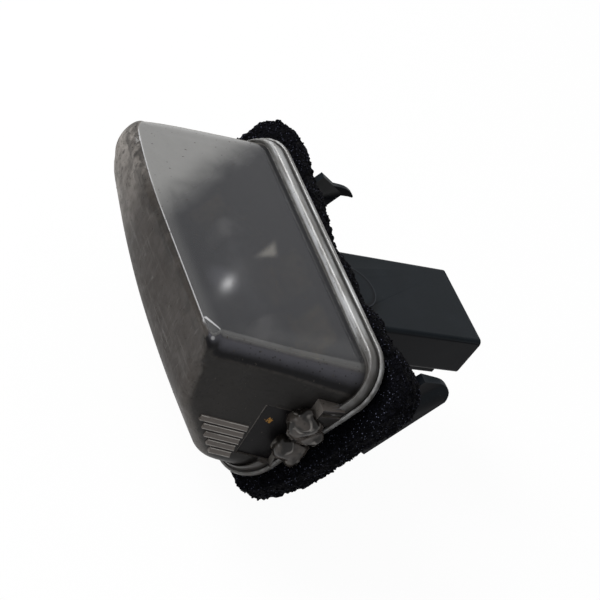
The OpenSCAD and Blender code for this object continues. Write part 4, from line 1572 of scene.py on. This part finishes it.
@dataclass
class Studio:
    """Floor, world, lamps and the camera at the photograph's angle."""

    camera_place: Colour = (0.17014, -0.16326, 0.16287)
    camera_right: Colour = (0.32212, 0.80414, 0.49959)
    camera_up: Colour = (-0.7368, -0.11841, 0.66566)
    focal_length: float = 91.89
    sensor_width: float = 36.0
    clip: tuple[float, float] = (0.01, 20.0)
    ambient: float = 0.42
    sky: Colour = (0.98, 0.99, 1.0)
    floor_colour: Colour = (0.95, 0.95, 0.95)
    floor_roughness: float = 0.9
    floor_glow: float = 0.96
    floor_half: float = 4.0
    floor_drop: float = 0.002
    spark_spot: Colour = (0.01460, -0.02925, 0.01648)
    spark_reach: float = 0.6
    key_place: Colour = (-0.24, 0.62, 0.20)
    side_place: Colour = (-0.55, 0.12, 0.30)

    def axes(self) -> tuple[Vector, Vector, Vector]:
        """Returns the camera's directions to the right, up and back."""
        right, up = Vector(self.camera_right), Vector(self.camera_up)
        return right, up, right.cross(up)

    def camera(self) -> None:
        """Places the camera."""
        data = bpy.data.cameras.new("camera")
        data.lens = self.focal_length
        data.sensor_width = self.sensor_width
        data.clip_start, data.clip_end = self.clip
        camera = add_object("camera", data)
        turn = Matrix(self.axes()).transposed().to_4x4()
        camera.matrix_world = Matrix.Translation(self.camera_place) @ turn
        bpy.context.scene.camera = camera

    def lamp(self, name: str, place: Vector, size: float, power: float) -> None:
        """Adds a square area lamp that faces the object.

        Args:
            name: the lamp's name.
            place: its place in metres.
            size: its side in metres.
            power: its power in watts.
        """
        data = bpy.data.lights.new(name, "AREA")
        data.shape = "SQUARE"
        data.size = size
        data.energy = power
        lamp = add_object(name, data)
        lamp.location = place
        lamp.rotation_mode = "QUATERNION"
        lamp.rotation_quaternion = (-place).to_track_quat("-Z", "Y")

    def spark_place(self) -> Vector:
        """Returns where a lamp stands whose mirror image the camera sees in the level window."""
        ray = (Vector(self.spark_spot) - Vector(self.camera_place)).normalized()
        return Vector(self.spark_spot) + self.spark_reach * Vector((ray.x, ray.y, -ray.z))

    def seen_share(self, builder: TreeBuilder) -> Wire:
        """Returns 1 for rays from the camera, off a mirror or through glass."""
        path = builder.node("ShaderNodeLightPath", {})
        camera, glossy, through = (Wire(builder, path.outputs[kind]) for kind in SEEN_RAYS)
        return camera.higher(glossy).higher(through)

    def world(self) -> None:
        """Makes a world that looks white and lights the object softly."""
        world = bpy.data.worlds.new("studio")
        world.use_nodes = True
        tree = TreeBuilder(world.node_tree)
        light = {"Color": (*self.sky, 1.0), "Strength": self.ambient}
        plain = tree.wire("ShaderNodeBackground", light)
        seen = tree.wire("ShaderNodeBackground", {"Color": WHITE, "Strength": 1.0})
        mixed = tree.wire("ShaderNodeMixShader", {0: self.seen_share(tree), 1: plain, 2: seen})
        tree.node("ShaderNodeOutputWorld", {"Surface": mixed})
        bpy.context.scene.world = world

    def floor(self) -> None:
        """Lays a pale floor just under the object that keeps a faint shadow."""
        low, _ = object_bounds()
        corners = [(x, y, 0.0) for x, y in ((-1, -1), (1, -1), (1, 1), (-1, 1))]
        level = Vector((0.0, 0.0, low.z - self.floor_drop))
        floor = new_object("floor", [Vector(c) * self.floor_half + level for c in corners], [range(4)])
        paint = Paint("studio_floor")
        matt = paint.surface(self.floor_colour, self.floor_roughness)
        glow = paint.node("ShaderNodeEmission", {"Color": WHITE, "Strength": 1.0})
        share = self.seen_share(paint) * self.floor_glow
        dress(floor, paint.finish(paint.mix(share, matt, glow)))
        floor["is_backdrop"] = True

    def build(self) -> None:
        """Sets the whole studio up."""
        self.camera()
        self.world()
        self.floor()
        from_camera = Matrix(self.axes()).transposed()
        self.lamp("key", from_camera @ Vector(self.key_place), size=0.35, power=5.0)
        self.lamp("side", from_camera @ Vector(self.side_place), size=0.45, power=1.5)
        self.lamp("spark", self.spark_place(), size=0.004, power=0.0015)
        bpy.context.scene.view_settings.view_transform = "Standard"
        log.info("studio ready")


def main() -> None:
    """Builds and dresses each sub-assembly."""
    logging.basicConfig(level=logging.INFO, format="%(message)s")
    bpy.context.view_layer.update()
    lens_finishes = (DirtyLensPlastic(), SilveryRimPlastic(), ClearInnerSkin(), ShadedRibPlastic())
    LensShell(*(finish.make() for finish in lens_finishes)).build()
    # The housing's rounded edges take a lighter copy of the plastic: a painted highlight.
    edge_highlight = MouldedPlastic(
        "plastic_edge_highlight", colour=(0.013, 0.0145, 0.0180), wear_and_highlight=(0.022, 0.024, 0.029)
    )
    Housing(MouldedPlastic().make(), edge_highlight.make()).build()
    FoamSeal(GrittyFoam().make()).build()
    GlueLumps(DriedGlue().make()).build()
    metals = (
        RolledMetal("rolled_brass", colour=(0.62, 0.47, 0.22), dull=(0.36, 0.26, 0.13)),
        RolledMetal("plated_steel", colour=(0.62, 0.60, 0.56), dull=(0.34, 0.32, 0.29)),
        RolledMetal("filament_wire", colour=(0.30, 0.30, 0.31), dull=(0.16, 0.16, 0.17)),
        RolledMetal("soft_solder", (0.55, 0.55, 0.56), (0.38, 0.38, 0.38), roughness=0.45),
    )
    brass, plated, wire, solder = (metal.make() for metal in metals)
    Bulb(ClearBulbGlass().make(), plated, wire, solder).build()
    Contacts(brass, plated).build()
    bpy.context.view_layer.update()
    Studio().build()


if __name__ == "__main__":
    main()
